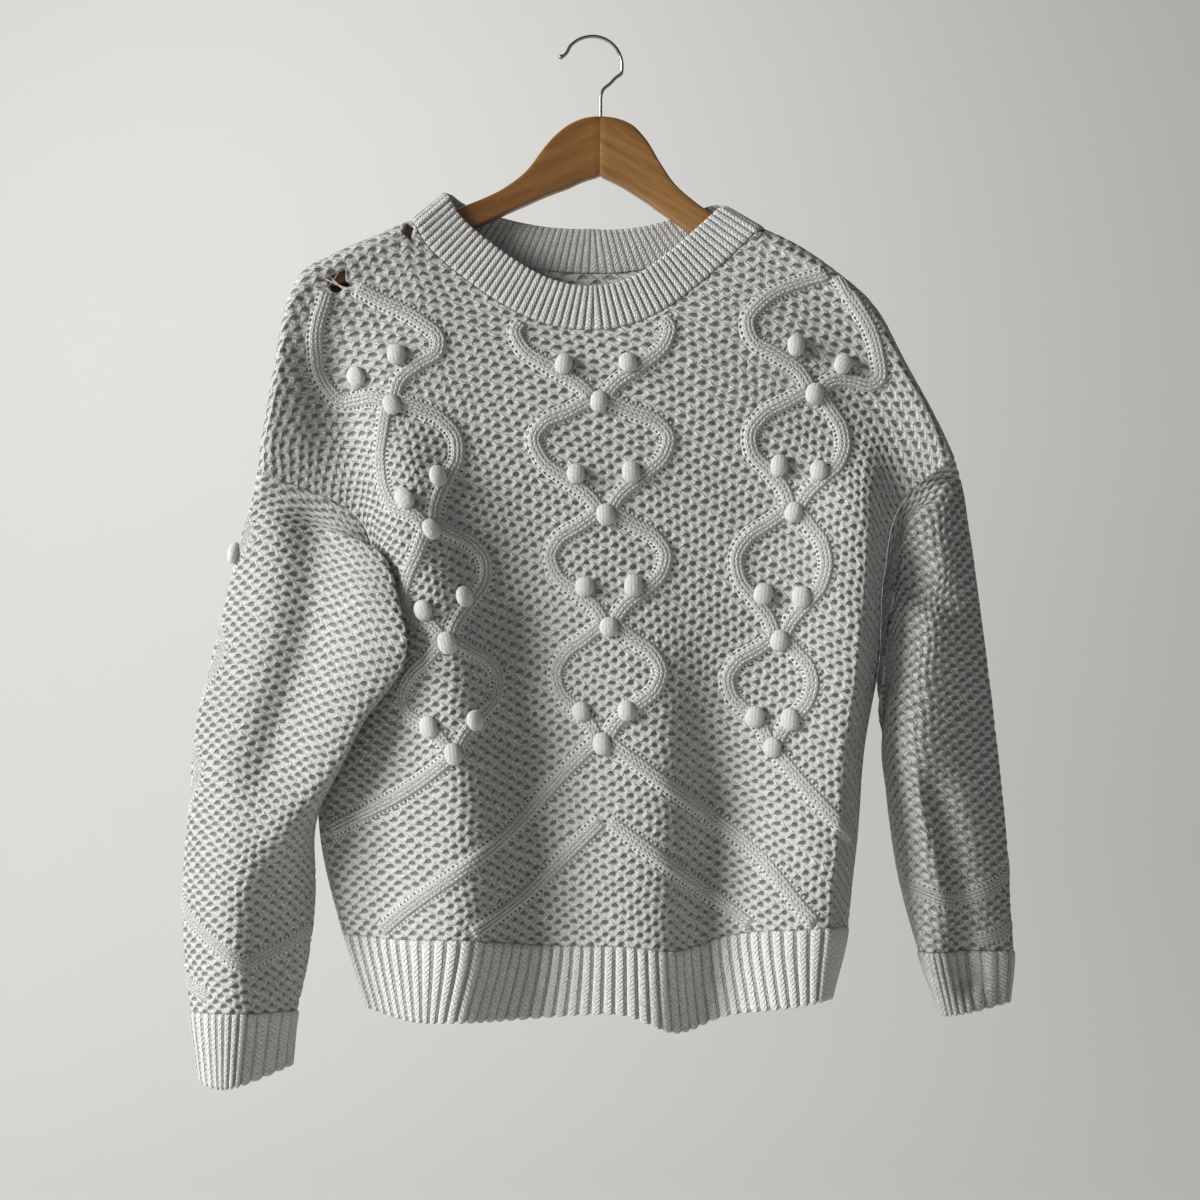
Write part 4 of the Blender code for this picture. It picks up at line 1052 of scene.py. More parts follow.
@dataclass(frozen=True)
class YarnFinish:
    """Off-white yarn, drawn as one kind of stitch."""

    name: str
    stitch: Stitch
    light: tuple = (0.84, 0.838, 0.822, 1.0)
    warm: tuple = (0.785, 0.778, 0.756, 1.0)
    # painted shade: the dark colour that each stitch drawing's shade mixes in, for the shade in pits, grooves,
    # eyelets and gaps
    pit: tuple = (0.12, 0.116, 0.106, 1.0)
    fleck: tuple = (0.52, 0.51, 0.475, 1.0)
    levels: tuple = (
        ("Roughness", 0.92), ("Specular IOR Level", 0.2), ("Sheen Weight", 0.25), ("Sheen Roughness", 0.6),
    )
    uneven: float = 0.22
    uneven_cloud: Cloud = Cloud(330.0, 3.0, 0.6)
    patch_cloud: Cloud = Cloud(14.0, 3.0)
    fibre_cloud: Cloud = Cloud(900.0, 4.0, 0.7)
    patch_reach: tuple = (0.35, 0.75)
    fleck_reach: tuple = (0.46, 0.72)
    stitch_bump: float = 0.0017
    fibre_bump: float = 0.0011
    fibre_strength: float = 0.9

    def honeycomb(self, graph: Graph, across: Socket, up: Socket) -> Drawn:
        """The ground's cells: strands down their slanted sides and across their tops, a slit under each top.

        The measure is that of the ground stitch's relief. The slit fills a share of the cell's width. The slit
        and the floor between the strands are painted as shade.
        """
        steep, drawn = Honeycomb.steep, HoneycombDrawing()
        right, rise = graph.signed(across, 0.5), graph.signed(up, 0.5)
        first = graph.times(graph.size(rise), 4 - steep)
        first = graph.times_plus(graph.size(right), steep, first)
        near = graph.math("LESS_THAN", first, 1.0)
        beside = graph.either(near, right, graph.signed(across, 0.0))
        above = graph.either(near, rise, graph.signed(up, 0.0))
        measure = graph.math("MINIMUM", first, graph.less(2.0, first))
        top = graph.eased(above, *drawn.top)
        strand = graph.most(graph.eased(measure, *drawn.strand), top)
        room = graph.times_plus(graph.size(above), steep - 4, 1.0)
        aside = graph.times(graph.size(graph.plus(beside, drawn.slit_aside)), steep)
        filling = graph.math("DIVIDE", aside, graph.most(room, drawn.least_room))
        slit = graph.less(1.0, graph.eased(filling, *drawn.slit_reach))
        slit = graph.times(slit, graph.eased(above, *drawn.slit_foot))
        slit = graph.times(slit, graph.less(1.0, top))
        run = graph.times_plus(graph.size(beside), steep, room)
        twist = graph.times_plus(run, drawn.twist_along, graph.times(measure, drawn.twist_across))
        plies = graph.times(graph.wave(twist), strand)
        # painted shade in the slit and on the floor between the strands
        floor = graph.times(graph.less(1.0, strand), drawn.floor_painted_shade)
        shade = graph.most(graph.times(slit, drawn.slit_painted_shade), floor)
        height = graph.less(strand, graph.times(slit, drawn.slit_depth))
        return shade, graph.plus(height, graph.times(plies, drawn.ply_height))

    def rib(self, graph: Graph, across: Socket, up: Socket) -> Drawn:
        """A rib's stitches: slanted legs that meet in a V down each wale, and bumps in the grooves, which are
        painted dark as shade.
        """
        drawn = RibDrawing()
        off = graph.off(across)
        legs = graph.wave(graph.plus(up, graph.times(off, drawn.slant)))
        groove = graph.eased(off, *drawn.groove)
        bumps = graph.wave(up)
        # painted shade in the grooves
        shade = graph.plus(drawn.groove_painted_shade, graph.times(bumps, drawn.bump_painted_shade))
        height = graph.less(graph.times(legs, drawn.leg_height), groove)
        height = graph.plus(height, graph.times(bumps, drawn.bump_height))
        return graph.times(groove, shade), height

    def cable(self, graph: Graph, across: Socket, up: Socket) -> Drawn:
        """Three plain wales side by side, with a row of eyelets outside them, and painted shade in the grooves,
        at the foot, between the legs and in the eyelets.
        """
        drawn = CableDrawing()
        lane = graph.off(graph.plus(across, 0.5))
        out = graph.size(across)
        legs = graph.wave(graph.plus(up, graph.times(lane, drawn.slant)))
        inside = graph.less(1.0, graph.eased(out, *drawn.side))
        groove = graph.times(graph.eased(lane, *drawn.groove), inside)
        gap = graph.times(graph.less(0.5, graph.times(legs, 0.5)), inside)
        beside = graph.times(graph.size(graph.less(out, drawn.eyelet_off)), drawn.eyelet_narrow)
        eyelet = graph.plus(beside, graph.times(graph.off(up), drawn.eyelet_short))
        hole = graph.less(1.0, graph.eased(eyelet, *drawn.eyelet))
        foot = graph.less(1.0, graph.eased(graph.size(graph.less(out, drawn.foot_off)), *drawn.foot))
        # painted shade in the grooves, at the foot, between the legs and in the eyelets
        lines = graph.times(groove, drawn.groove_painted_shade)
        shade = graph.most(lines, graph.times(foot, drawn.foot_painted_shade))
        shade = graph.most(shade, graph.times(gap, drawn.leg_painted_shade))
        height = graph.less(graph.times(graph.times(legs, inside), drawn.leg_height), groove)
        return graph.most(shade, hole), graph.less(height, hole)

    def bobble(self, graph: Graph, across: Socket, up: Socket) -> Drawn:
        """Faint wales that curve over the bobble, with a faint painted shade between them."""
        drawn = BobbleDrawing()
        lines, legs = graph.wave(across), graph.wave(up)
        height = graph.plus(graph.times(lines, drawn.wale_height), graph.times(legs, drawn.leg_height))
        return graph.times(graph.less(1.0, lines), drawn.shade), height

    def unevened(self, graph: Graph, stitches: Socket, place: Socket) -> Socket:
        """Stitch coordinates moved a little by noise, as soft yarn is never even."""
        cloud = graph.cloud(place, self.uneven_cloud)
        moved = graph.node("ShaderNodeVectorMath", operation="MULTIPLY_ADD")
        graph.link(cloud.outputs["Color"], moved.inputs[0])
        moved.inputs[1].default_value = (self.uneven, self.uneven, 0.0)
        graph.link(stitches, moved.inputs[2])
        return moved.outputs[0]

    def material(self) -> Material:
        """The finish: yarn with a warm cast in patches, painted shade in its pits and grooves, and bumps for
        stitches and fibre.
        """
        graph = Graph.named(self.name)
        stitches = graph.node("ShaderNodeUVMap", uv_map="stitches").outputs[0]
        parts = graph.node("ShaderNodeSeparateXYZ")
        place = graph.place()
        graph.link(self.unevened(graph, stitches, place), parts.inputs[0])
        drawings = {
            Stitch.HONEYCOMB: self.honeycomb,
            Stitch.RIB: self.rib,
            Stitch.CABLE: self.cable,
            Stitch.BOBBLE: self.bobble,
        }
        shade, height = drawings[self.stitch](graph, parts.outputs[0], parts.outputs[1])
        patch = graph.eased(graph.noise(place, self.patch_cloud), *self.patch_reach)
        fibre = graph.noise(place, self.fibre_cloud)
        yarn = graph.mixed(patch, self.light, self.warm)
        yarn = graph.mixed(graph.eased(fibre, *self.fleck_reach), yarn, self.fleck)
        # painted shade: the drawing's shade mixes the dark pit colour into the yarn
        graph.link(graph.mixed(shade, yarn, self.pit), graph.shader.inputs["Base Color"])
        graph.levels(self.levels)
        normal = graph.bumped(height, self.stitch_bump, 1.0)
        normal = graph.bumped(fibre, self.fibre_bump, self.fibre_strength, normal)
        graph.link(normal, graph.shader.inputs["Normal"])
        return graph.material


@dataclass(frozen=True)
class WoodFinish:
    """Lacquered wood with its grain along one arm."""

    name: str
    slope: float
    light: tuple = (0.28, 0.132, 0.036, 1.0)
    dark: tuple = (0.185, 0.078, 0.018, 1.0)
    levels: tuple = (("Roughness", 0.36), ("Coat Weight", 0.35), ("Coat Roughness", 0.25))
    grain_lengths: tuple = (0.20, 0.022, 0.014)
    grain_cloud: Cloud = Cloud(2.0, 5.0, 0.6)
    grain_reach: tuple = (0.30, 0.72)
    pore_lengths: tuple = (0.035, 0.002, 0.0013)
    pore_cloud: Cloud = Cloud(1.0, 2.0, 0.6)
    pore_reach: tuple = (0.50, 0.75)
    pore_share: float = 0.5
    pore_bump: float = 0.00015
    pore_strength: float = 0.35

    def along(self, graph: Graph, place: Socket, lengths: tuple) -> Socket:
        """Coordinates turned down the arm's slope, then drawn out by a length along it and two across."""
        turned = graph.node("ShaderNodeMapping", vector_type="TEXTURE")
        graph.link(place, turned.inputs["Vector"])
        turned.inputs["Rotation"].default_value = (0.0, self.slope, 0.0)
        turned.inputs["Scale"].default_value = lengths
        return turned.outputs[0]

    def material(self) -> Material:
        """The finish: long streaks of grain, finer pores, and a thin coat."""
        graph = Graph.named(self.name)
        place = graph.place()
        grain = graph.noise(self.along(graph, place, self.grain_lengths), self.grain_cloud)
        pores = graph.noise(self.along(graph, place, self.pore_lengths), self.pore_cloud)
        colour = graph.mixed(graph.eased(grain, *self.grain_reach), self.light, self.dark)
        dotted = graph.times(graph.eased(pores, *self.pore_reach), self.pore_share)
        graph.link(graph.mixed(dotted, colour, self.dark), graph.shader.inputs["Base Color"])
        graph.levels(self.levels)
        normal = graph.bumped(pores, self.pore_bump, self.pore_strength)
        graph.link(normal, graph.shader.inputs["Normal"])
        return graph.material


@dataclass(frozen=True)
class SteelFinish:
    """Plated steel wire, a little worn."""

    name: str = "hook_steel"
    colour: tuple = (0.38, 0.38, 0.385, 1.0)
    worn: tuple = (0.25, 0.25, 0.255, 1.0)
    worn_cloud: Cloud = Cloud(120.0)
    roughness: float = 0.20
    worn_roughness: float = 0.10

    def material(self) -> Material:
        """The finish: metal whose gloss varies along the wire."""
        graph = Graph.named(self.name)
        worn = graph.noise(graph.place(), self.worn_cloud)
        graph.link(graph.mixed(worn, self.colour, self.worn), graph.shader.inputs["Base Color"])
        graph.levels((("Metallic", 1.0),))
        rough = graph.plus(graph.times(worn, self.worn_roughness), self.roughness)
        graph.link(rough, graph.shader.inputs["Roughness"])
        return graph.material


# ---- cloth pieces


@dataclass(frozen=True)
class Tear:
    """A small hole at the left shoulder, as a block of inner cells.

    The outer skin's block may stand some fine cells higher, and some further right.
    """

    column: int
    row: int
    columns: int
    rows: int
    lift: int = 0
    shift: int = 0


@dataclass
class Panel:
    """The front or the back: a knitted wall from welt to shoulders."""

    name: str
    node: str
    is_front: bool
    columns: int
    per_row: int
    inner_across: int
    inner_up: int
    even_rows: int
    rows: int
    tears: tuple = ()
    stitch: Honeycomb = Honeycomb()
    course: float = 8.4
    wall: float = 3.0
    edge_fade: float = 3.0

    def coordinates(self) -> tuple[Array, Array]:
        """The grid's wales and heights: evenly spaced rows below, shared out above up to the top edge."""
        wale = np.linspace(-BODY.half_width, BODY.half_width, self.columns + 1)
        step = self.course / self.per_row
        low = np.arange(self.even_rows) * step
        foot = self.even_rows * step
        part = np.linspace(0, 1, self.rows + 1 - self.even_rows)[:, None]
        high = foot + (BODY.top_height(wale, self.is_front) - foot) * part
        height = np.concatenate([np.repeat(low[:, None], len(wale), axis=1), high])
        wale = np.repeat(wale[None], len(height), axis=0)
        for tear in self.tears:
            wale, height = self.rounded(wale, height, tear)
        return wale, height

    def rounded(self, wale: Array, height: Array, tear: Tear) -> tuple[Array, Array]:
        """Draws the grid round a tear into a disc: a square's ring at s moves in by s over its radius."""
        low, left = tear.row * self.inner_up + tear.lift, tear.column * self.inner_across + tear.shift
        high, right = low + tear.rows * self.inner_up, left + tear.columns * self.inner_across
        corner = np.array([wale[low, left], height[low, left]])
        far = np.array([wale[low, right], height[high, left]])
        middle, half = (corner + far) / 2, (far - corner) / 2
        off = (np.stack([wale, height], axis=-1) - middle) / half
        square = np.abs(off).max(axis=-1)
        share = square / np.hypot(off[..., 0], off[..., 1]).clip(1e-9)
        share = 1 + (share - 1) * (2 - square).clip(0, 1)
        moved = middle + off * share[..., None] * half
        near = square < 2
        return np.where(near, moved[..., 0], wale), np.where(near, moved[..., 1], height)

    def block(self, tear: Tear, across: int, up: int, lift: int, shift: int) -> tuple[slice, slice]:
        """The rows and columns of faces that a tear takes from a grid."""
        low, left = tear.row * up + lift, tear.column * across + shift
        return slice(low, low + tear.rows * up), slice(left, left + tear.columns * across)

    def corners(self, tear: Tear, across: int, up: int, lift: int, shift: int) -> tuple[slice, slice]:
        """The rows and columns of points round the faces that a tear takes from a grid."""
        rows, columns = self.block(tear, across, up, lift, shift)
        return slice(rows.start, rows.stop + 1), slice(columns.start, columns.stop + 1)

    def build(self, material: Material) -> Piece:
        """Makes the wall: the form's surface, moved in by the stitch's relief, over a plain inner skin."""
        wale, height = self.coordinates()
        points = BODY.point(wale, height, self.is_front)
        sign = 1.0 if self.is_front else -1.0
        ways = grid_ways(points, sign, False)
        across, up = self.inner_across, self.inner_up
        flat = filled(evened(points[::up, ::across]), up, across)
        stitches = self.stitch.stitches(flat[..., 0], flat[..., 1])
        below_top = BODY.top_height(wale, self.is_front) - height
        edge = np.minimum(BODY.half_width - np.abs(wale), np.minimum(height, below_top))
        relief = self.stitch.relief(stitches) * ease((edge + 1) / self.edge_fade)
        outer = points + ways * relief[..., None]
        skin = points - ways * self.wall
        inner = skin[::up, ::across].copy()
        for tear in self.tears:
            spans = skin[self.corners(tear, across, up, tear.lift, tear.shift)]
            inner[self.corners(tear, 1, 1, 0, 0)] = spans[::up, ::across]
        draft = MeshDraft(self.name)
        flip = not self.is_front
        fine = draft.add(outer, stitches)
        coarse = draft.add(inner, stitches[::up, ::across])
        kept = np.ones((fine.shape[0] - 1, fine.shape[1] - 1), bool)
        kept_inside = np.ones((coarse.shape[0] - 1, coarse.shape[1] - 1), bool)
        for tear in self.tears:
            kept[self.block(tear, across, up, tear.lift, tear.shift)] = False
            kept_inside[self.block(tear, 1, 1, 0, 0)] = False
        draft.quads(fine, flip, kept)
        draft.quads(coarse, not flip, kept_inside)
        draft.rim(fine[0], coarse[0], not flip)
        draft.rim(fine[-1], coarse[-1], flip)
        draft.rim(fine[:, 0], coarse[:, 0], flip)
        draft.rim(fine[:, -1], coarse[:, -1], not flip)
        for tear in self.tears:
            spans = fine[self.corners(tear, across, up, tear.lift, tear.shift)]
            cells = coarse[self.corners(tear, 1, 1, 0, 0)]
            draft.rim(spans[0], cells[0], flip)
            draft.rim(spans[-1], cells[-1], not flip)
            draft.rim(spans[:, 0], cells[:, 0], not flip)
            draft.rim(spans[:, -1], cells[:, -1], flip)
        return dressed(draft.build(), material, Slot.KNIT, self.node)


@dataclass(frozen=True)
class TornYarns:
    """Loose strands left across a tear, each a thin tube from rim to rim."""

    strands: tuple = (((-182, 481), (-156, 471)), ((-177, 486), (-159, 467)), ((-181, 474), (-163, 486)))
    radius: float = 0.6
    sag: float = 1.2
    sunk: float = 1.5
    around: int = 8
    steps: int = 14
    legs: int = 8

    def build(self, name: str, place: Surface, material: Material) -> Piece:
        """Carries a circle along each strand, which hangs down a little between its sunk ends."""
        draft = MeshDraft(name)
        turn = np.linspace(0, 2 * math.pi, self.around + 1)
        part = np.linspace(0, 1, self.steps + 1)
        for first, second in self.strands:
            ends = place(np.array([first[0], second[0]], float), np.array([first[1], second[1]], float))
            ends = ends + np.array([0.0, self.sunk, 0.0])
            path = ends[:1] + (ends[1:] - ends[:1]) * part[:, None]
            path[:, 2] -= self.sag * 4 * part * (1 - part)
            forward = unit(np.gradient(path, axis=0))
            side = unit(np.cross(forward, np.array([0.0, 1.0, 0.0])))
            out = np.cross(side, forward)
            ring = side[:, None] * np.cos(turn)[None, :, None] + out[:, None] * np.sin(turn)[None, :, None]
            points = path[:, None] + ring * self.radius
            stitches = stacked(turn[None] / math.pi, part[:, None] * self.legs)
            index = draft.add(points, stitches)
            draft.quads(index, False)
            draft.closed(index)
            draft.cap(index[0], path[0], True)
            draft.cap(index[-1], path[-1], False)
        return dressed(draft.build(), material, Slot.KNIT)


@dataclass
class Sleeve:
    """One sleeve: a knitted tube from the armhole to the cuff."""

    name: str
    node: str
    form: SleeveForm
    columns: int = 224
    rows: int = 240
    inner_across: int = 7
    inner_up: int = 5
    stitch: Honeycomb = Honeycomb()
    wall: float = 3.0
    edge_fade: float = 3.0
    top_gap: float = 0.4
    foot_gap: float = 0.3

    def build(self, material: Material) -> Piece:
        """Makes the tube, its stitches counted by real length from the outer fold and up from the cuff."""
        turn = np.linspace(-0.5, 0.5, self.columns + 1)
        along = np.linspace(self.top_gap, self.form.length - self.foot_gap, self.rows + 1)
        grid_turn, grid_along = np.meshgrid(turn, along)
        points = self.form.point(grid_turn, grid_along)
        sign = float(self.form.side.value)
        ways = grid_ways(points, sign, True)
        steps = np.linalg.norm(np.diff(points, axis=1), axis=2)
        lengths = np.concatenate([np.zeros((len(along), 1)), np.cumsum(steps, axis=1)], axis=1)
        lengths -= lengths[:, self.columns // 2][:, None]
        rises = np.linalg.norm(np.diff(points, axis=0), axis=2)[::-1]
        heights = np.concatenate([np.zeros((1, len(turn))), np.cumsum(rises, axis=0)])[::-1]
        stitches = self.stitch.stitches(lengths, heights)
        edge = np.minimum(grid_along, self.form.length - grid_along)
        relief = self.stitch.relief(stitches) * ease((edge + 1) / self.edge_fade)
        relief[:, -1] = relief[:, 0]
        outer = points + ways * relief[..., None]
        inner = (points - ways * self.wall)[:: self.inner_up, :: self.inner_across]
        draft = MeshDraft(self.name)
        flip = sign < 0
        fine = draft.add(outer, stitches)
        coarse = draft.add(inner, stitches[:: self.inner_up, :: self.inner_across])
        draft.quads(fine, flip)
        draft.quads(coarse, not flip)
        draft.rim(fine[0], coarse[0], not flip)
        draft.rim(fine[-1], coarse[-1], flip)
        draft.closed(fine)
        draft.closed(coarse)
        return dressed(draft.build(), material, Slot.KNIT, self.node)


@dataclass
class RibStrip:
    """A ribbed strip: a welt, a cuff or the neckband."""

    name: str
    node: str
    surface: Surface
    ribs: int
    depth: float
    sign: float
    wraps: bool
    ribbing: Ribbing = Ribbing()
    per_rib: int = 8
    rows: int = 24
    wall: float = 3.0
    scallop: float = 1.6
    leg: float = 3.6
    edge_round: float = 2.6
    edge_steps: tuple = (0.85, 0.55, 0.28, 0.08, 0.0)
    edge_closes: float = 0.9
    scallop_power: int = 8
    seam_share: float = 0.35
    seam_fade: float = 3.0
    behind_share: float = 0.5

    def build(self, material: Material) -> Piece:
        """Makes the strip: ribs raised on its outer skin, the same ribs behind, its free edge scalloped.

        The surface is a function of the share of the ribs' run, 0 to 1, and of the depth from the seam.
        The free edge is rounded: both skins draw in to the middle of the wall on a quarter circle.
        """
        run = np.linspace(0, self.ribs, self.ribs * self.per_rib + 1)
        last = np.array(self.edge_steps) * self.edge_round / self.depth
        down = np.concatenate([np.linspace(0, 1 - 1.5 * last[0], self.rows + 1 - len(last)), 1 - last])
        relief = self.ribbing.relief(run)
        rise = relief / self.ribbing.height
        grid_run, grid_down = np.meshgrid(run, down)
        drawn_up = grid_down**self.scallop_power * self.scallop * (rise.clip(0, 1) - 1)
        depth = grid_down * self.depth + drawn_up
        points = self.surface(grid_run / self.ribs, depth)
        ways = grid_ways(points[::-1], self.sign, self.wraps)[::-1]
        fade = self.seam_share + (1 - self.seam_share) * ease(grid_down * self.depth / self.seam_fade)
        past = 1 - (1 - grid_down) * self.depth / self.edge_round
        open_edge = 1 - np.sqrt((1 - past.clip(0, 1) ** 2).clip(0))
        raised = relief * fade
        sunk = self.ribbing.relief(run + 0.5) - self.ribbing.height
        behind = self.wall + sunk * self.behind_share * fade
        middle = (raised - behind) / 2
        outer = points + ways * (raised + (middle - raised) * open_edge * self.edge_closes)[..., None]
        inner = points - ways * (behind + (-middle - behind) * open_edge * self.edge_closes)[..., None]
        stitches = np.stack([grid_run, depth / self.leg], axis=-1)
        draft = MeshDraft(self.name)
        flip = self.sign > 0
        front = draft.add(outer, stitches)
        back = draft.add(inner, stitches + np.array([0.5, 0.0]))
        draft.quads(front, flip)
        draft.quads(back, not flip)
        draft.quads(np.stack([front[0], back[0]]), not flip)
        draft.quads(np.stack([front[-1], back[-1]]), flip)
        if self.wraps:
            draft.closed(front)
            draft.closed(back)
        else:
            draft.quads(np.stack([front[:, 0], back[:, 0]]), flip)
            draft.quads(np.stack([front[:, -1], back[:, -1]]), not flip)
        return dressed(draft.build(), material, Slot.RIB, self.node)


@dataclass(frozen=True)
class WeltSurface:
    """The body's surface below its lower edge, where a welt hangs."""

    is_front: bool
    half_width: float = 299.8
    gap: float = 0.25
    measured_at: float = -30.0

    def at(self, part: Array, depth: Array) -> Array:
        """The surface at a share of the way across, evenly by real length, and a depth from the seam."""
        run = np.linspace(-self.half_width, self.half_width, SEAM_POINTS)
        lengths = lengths_along(BODY.point(run, np.full_like(run, self.measured_at), self.is_front))
        return BODY.point(np.interp(part * lengths[-1], lengths, run), -self.gap - depth, self.is_front)


@dataclass(frozen=True)
class CuffSurface:
    """The sleeve's surface below its lower edge, where its cuff hangs."""

    form: SleeveForm
    gap: float = 0.25

    @property
    def depth(self) -> float:
        """How deep the cuff is."""
        return self.form.end - self.form.length - self.gap

    def flat(self, seam: float, mean: float) -> "FlatSize":
        """The cuff's flat size from its length round its seam and its mean length, in metres."""
        return FlatSize(seam, self.depth * MM, mean * self.depth * MM)

    def at(self, part: Array, depth: Array) -> Array:
        """The surface at a share of the way round and a depth from the seam."""
        return self.form.point(part - 0.5, self.form.length + self.gap + depth)


@dataclass(frozen=True)
class CableWork:
    """The cable's bands: three wales wide, laid along lines in the cloth."""

    repeat: float = 83.3
    half_width: float = 52.0
    spacing: float = 166.0
    last_crossing: float = 144.0
    wale: float = 2.9
    height: float = 2.3
    step: float = 1.05
    leg: float = 3.8
    half_band: float = 1.5
    lanes: int = 13
    crown: tuple = (0.88, 0.12, 0.25)
    foot: float = 0.5
    margin: tuple = (1.58, 1.75, 2.05, 2.35, 2.6)
    margin_rise: tuple = ((1.58, 0.5), (1.75, 0.3), (2.35, 0.2), (2.6, -1.1))
    leg_height: float = 0.16
    leg_slant: float = 1.1
    eyelet_off: float = 2.05
    eyelet_wide: float = 0.2
    eyelet_spread: float = 0.04
    eyelet_depth: float = 0.9
    end_fade: float = 4.0
    end_sunk: float = 0.6
    base_sunk: float = 1.6
    nudge: float = 0.6
    diamond: tuple = (
        (0, 0.09), (0.13, 0.45), (0.27, 0.86), (0.40, 1.0),
        (0.56, 0.93), (0.72, 0.60), (0.88, 0.24), (1, 0.09),
    )
    top_diamond: tuple = (
        (0, 0.05), (0.2, 0.45), (0.42, 0.98), (0.56, 1.16),
        (0.68, 1.1), (0.80, 0.72), (0.91, 0.28), (1, 0.09),
    )
    top_repeats: tuple = ((-166.0, 88.0), (0.0, 83.3), (166.0, 101.0))
    chevrons: tuple = (((4, 144), (262, 0)), ((3, 90), (165, 0)), ((170, 138), (300, 72)))

    def diamond_side(self, column: float, crossing: float, side: int) -> Array:
        """One side of a diamond, from the crossing above down to the next one."""
        part, width = np.array(self.diamond).T
        return np.stack([column + side * width * self.half_width, crossing - part * self.repeat], axis=1)

    def top_side(self, column: float, tall: float, side: int) -> Array:
        """One side of a column's uppermost diamond, on the fourth crossing: wider but in the middle column."""
        part, width = np.array(self.top_diamond if column else self.diamond).T
        crossing = self.last_crossing + 3 * self.repeat
        return np.stack([column + side * width * self.half_width, crossing + (1 - part) * tall], axis=1)

    def front_lines(self) -> list[Array]:
        """The front's lines: three columns of diamonds over nested chevrons."""
        lines = []
        for column, tall in self.top_repeats:
            lines += [self.top_side(column, tall, side) for side in (-1, 1)]
            for repeat in range(1, 4):
                crossing = self.last_crossing + repeat * self.repeat
                lines += [self.diamond_side(column, crossing, side) for side in (-1, 1)]
        for side in (-1, 1):
            lines += [np.array(chevron, float) * np.array([side, 1.0]) for chevron in self.chevrons]
        return lines

    def followed(
        self, line: Array, place: Surface, allowed: Region
    ) -> tuple[Array, Array]:
        """A line made smooth and even: a cubic through its points, read every step of real length.

        Args:
            line: its points in the cloth.
            place: the surface that it lies on.
            allowed: whether the band may run at places in the cloth.

        Returns:
            The points in the cloth, and the real length down to each.
        """
        gaps = np.hypot(*np.diff(line, axis=0).T)
        at = np.concatenate([[0.0], np.cumsum(gaps)])
        fine = smooth(at, line, np.linspace(0, at[-1], max(8, int(at[-1] * 2))))
        fine = fine[allowed(fine[:, 0], fine[:, 1])]
        real = place(fine[:, 0], fine[:, 1])
        lengths = lengths_along(real)
        even = np.linspace(0, lengths[-1], max(4, int(round(lengths[-1] / self.step)) + 1))
        return np.stack([np.interp(even, lengths, fine[:, i]) for i in (0, 1)], axis=1), even

    def profile(self) -> tuple[Array, Array]:
        """The band's section: three rounded wales, a steep foot and a flat margin that dips at its edge."""
        lanes = np.linspace(-self.half_band, self.half_band, self.lanes)
        margin = np.array(self.margin)
        off = np.concatenate([-margin[::-1], lanes, margin])
        level, ripple, fall = self.crown
        waved = level + ripple * np.cos(self.lane(off) * 2 * math.pi)
        raised = self.height * (waved - fall * (off / self.half_band) ** 2)
        at, rise = zip((self.half_band, self.foot * self.height), *self.margin_rise)
        beside = np.interp(np.abs(off), at, rise)
        return off, np.where(np.abs(off) <= self.half_band, raised, beside)

    def lane(self, off: Array) -> Array:
        """How far a place across the band is from the middle of its wale."""
        return np.abs(np.mod(off + 0.5, 1.0) - 0.5)

    def build(
        self,
        name: str,
        lines: list[Array],
        place: Surface,
        allowed: Region,
        sign: float,
        material: Material,
    ) -> Piece:
        """Lays a band along each line, square to it in real space.

        Args:
            name: the piece's name.
            lines: its lines in the cloth.
            place: the surface, from cloth places to points.
            allowed: whether a band may run at places in the cloth.
            sign: 1 where the cloth's runs cross outwards, else -1.
            material: the finish.

        Returns:
            One object with every band, each closed underneath and at its ends.
        """
        off, raised = self.profile()
        draft = MeshDraft(name)
        for line in lines:
            path, even = self.followed(line, place, allowed)
            (x, y), nudge = path.T, self.nudge
            across = (place(x + nudge, y) - place(x - nudge, y)) / (2 * nudge)
            up = (place(x, y + nudge) - place(x, y - nudge)) / (2 * nudge)
            run = np.gradient(path, axis=0)
            forward = unit(across * run[:, :1] + up * run[:, 1:])
            outward = unit(np.cross(across, up) * sign)
            sideways = np.cross(forward, outward)
            metric = np.stack([across, up], axis=2)
            solved = np.linalg.pinv(metric) @ sideways[..., None]
            places = path[:, None] + off[None, :, None] * self.wale * solved[:, None, :, 0]
            points = place(places[..., 0], places[..., 1])
            ways = np.repeat(outward[:, None], len(off), axis=1)
            slanted = even[:, None] / self.leg + self.leg_slant * self.lane(off)[None]
            legs = self.leg_height * np.cos(2 * math.pi * slanted)
            beside = (((np.abs(off) - self.eyelet_off) / self.eyelet_wide) ** 2)[None]
            below = (np.mod(even / self.leg, 1.0)[:, None] - 0.5) ** 2 / self.eyelet_spread
            eyelet = np.exp(-beside - below)
            ends = ease(np.minimum(even, even[-1] - even) / self.end_fade)[:, None]
            height = raised[None] + np.where(np.abs(off) <= self.half_band, legs, -self.eyelet_depth * eyelet)
            height = np.minimum(height, height * ends - (1 - ends) * self.end_sunk)
            stitches = stacked(off[None], even[:, None] / self.leg)
            top = draft.add(points + ways * height[..., None], stitches)
            base = draft.add((points - ways * self.base_sunk)[:, [0, -1]], stitches[:, [0, -1]])
            draft.quads(top, False)
            draft.quads(base, True)
            draft.quads(np.stack([top[:, 0], base[:, 0]]), False)
            draft.quads(np.stack([top[:, -1], base[:, -1]]), True)
            for row, flip in ((0, True), (-1, False)):
                draft.rim(top[row], base[row], flip)
        return dressed(draft.build(), material, Slot.KNIT)


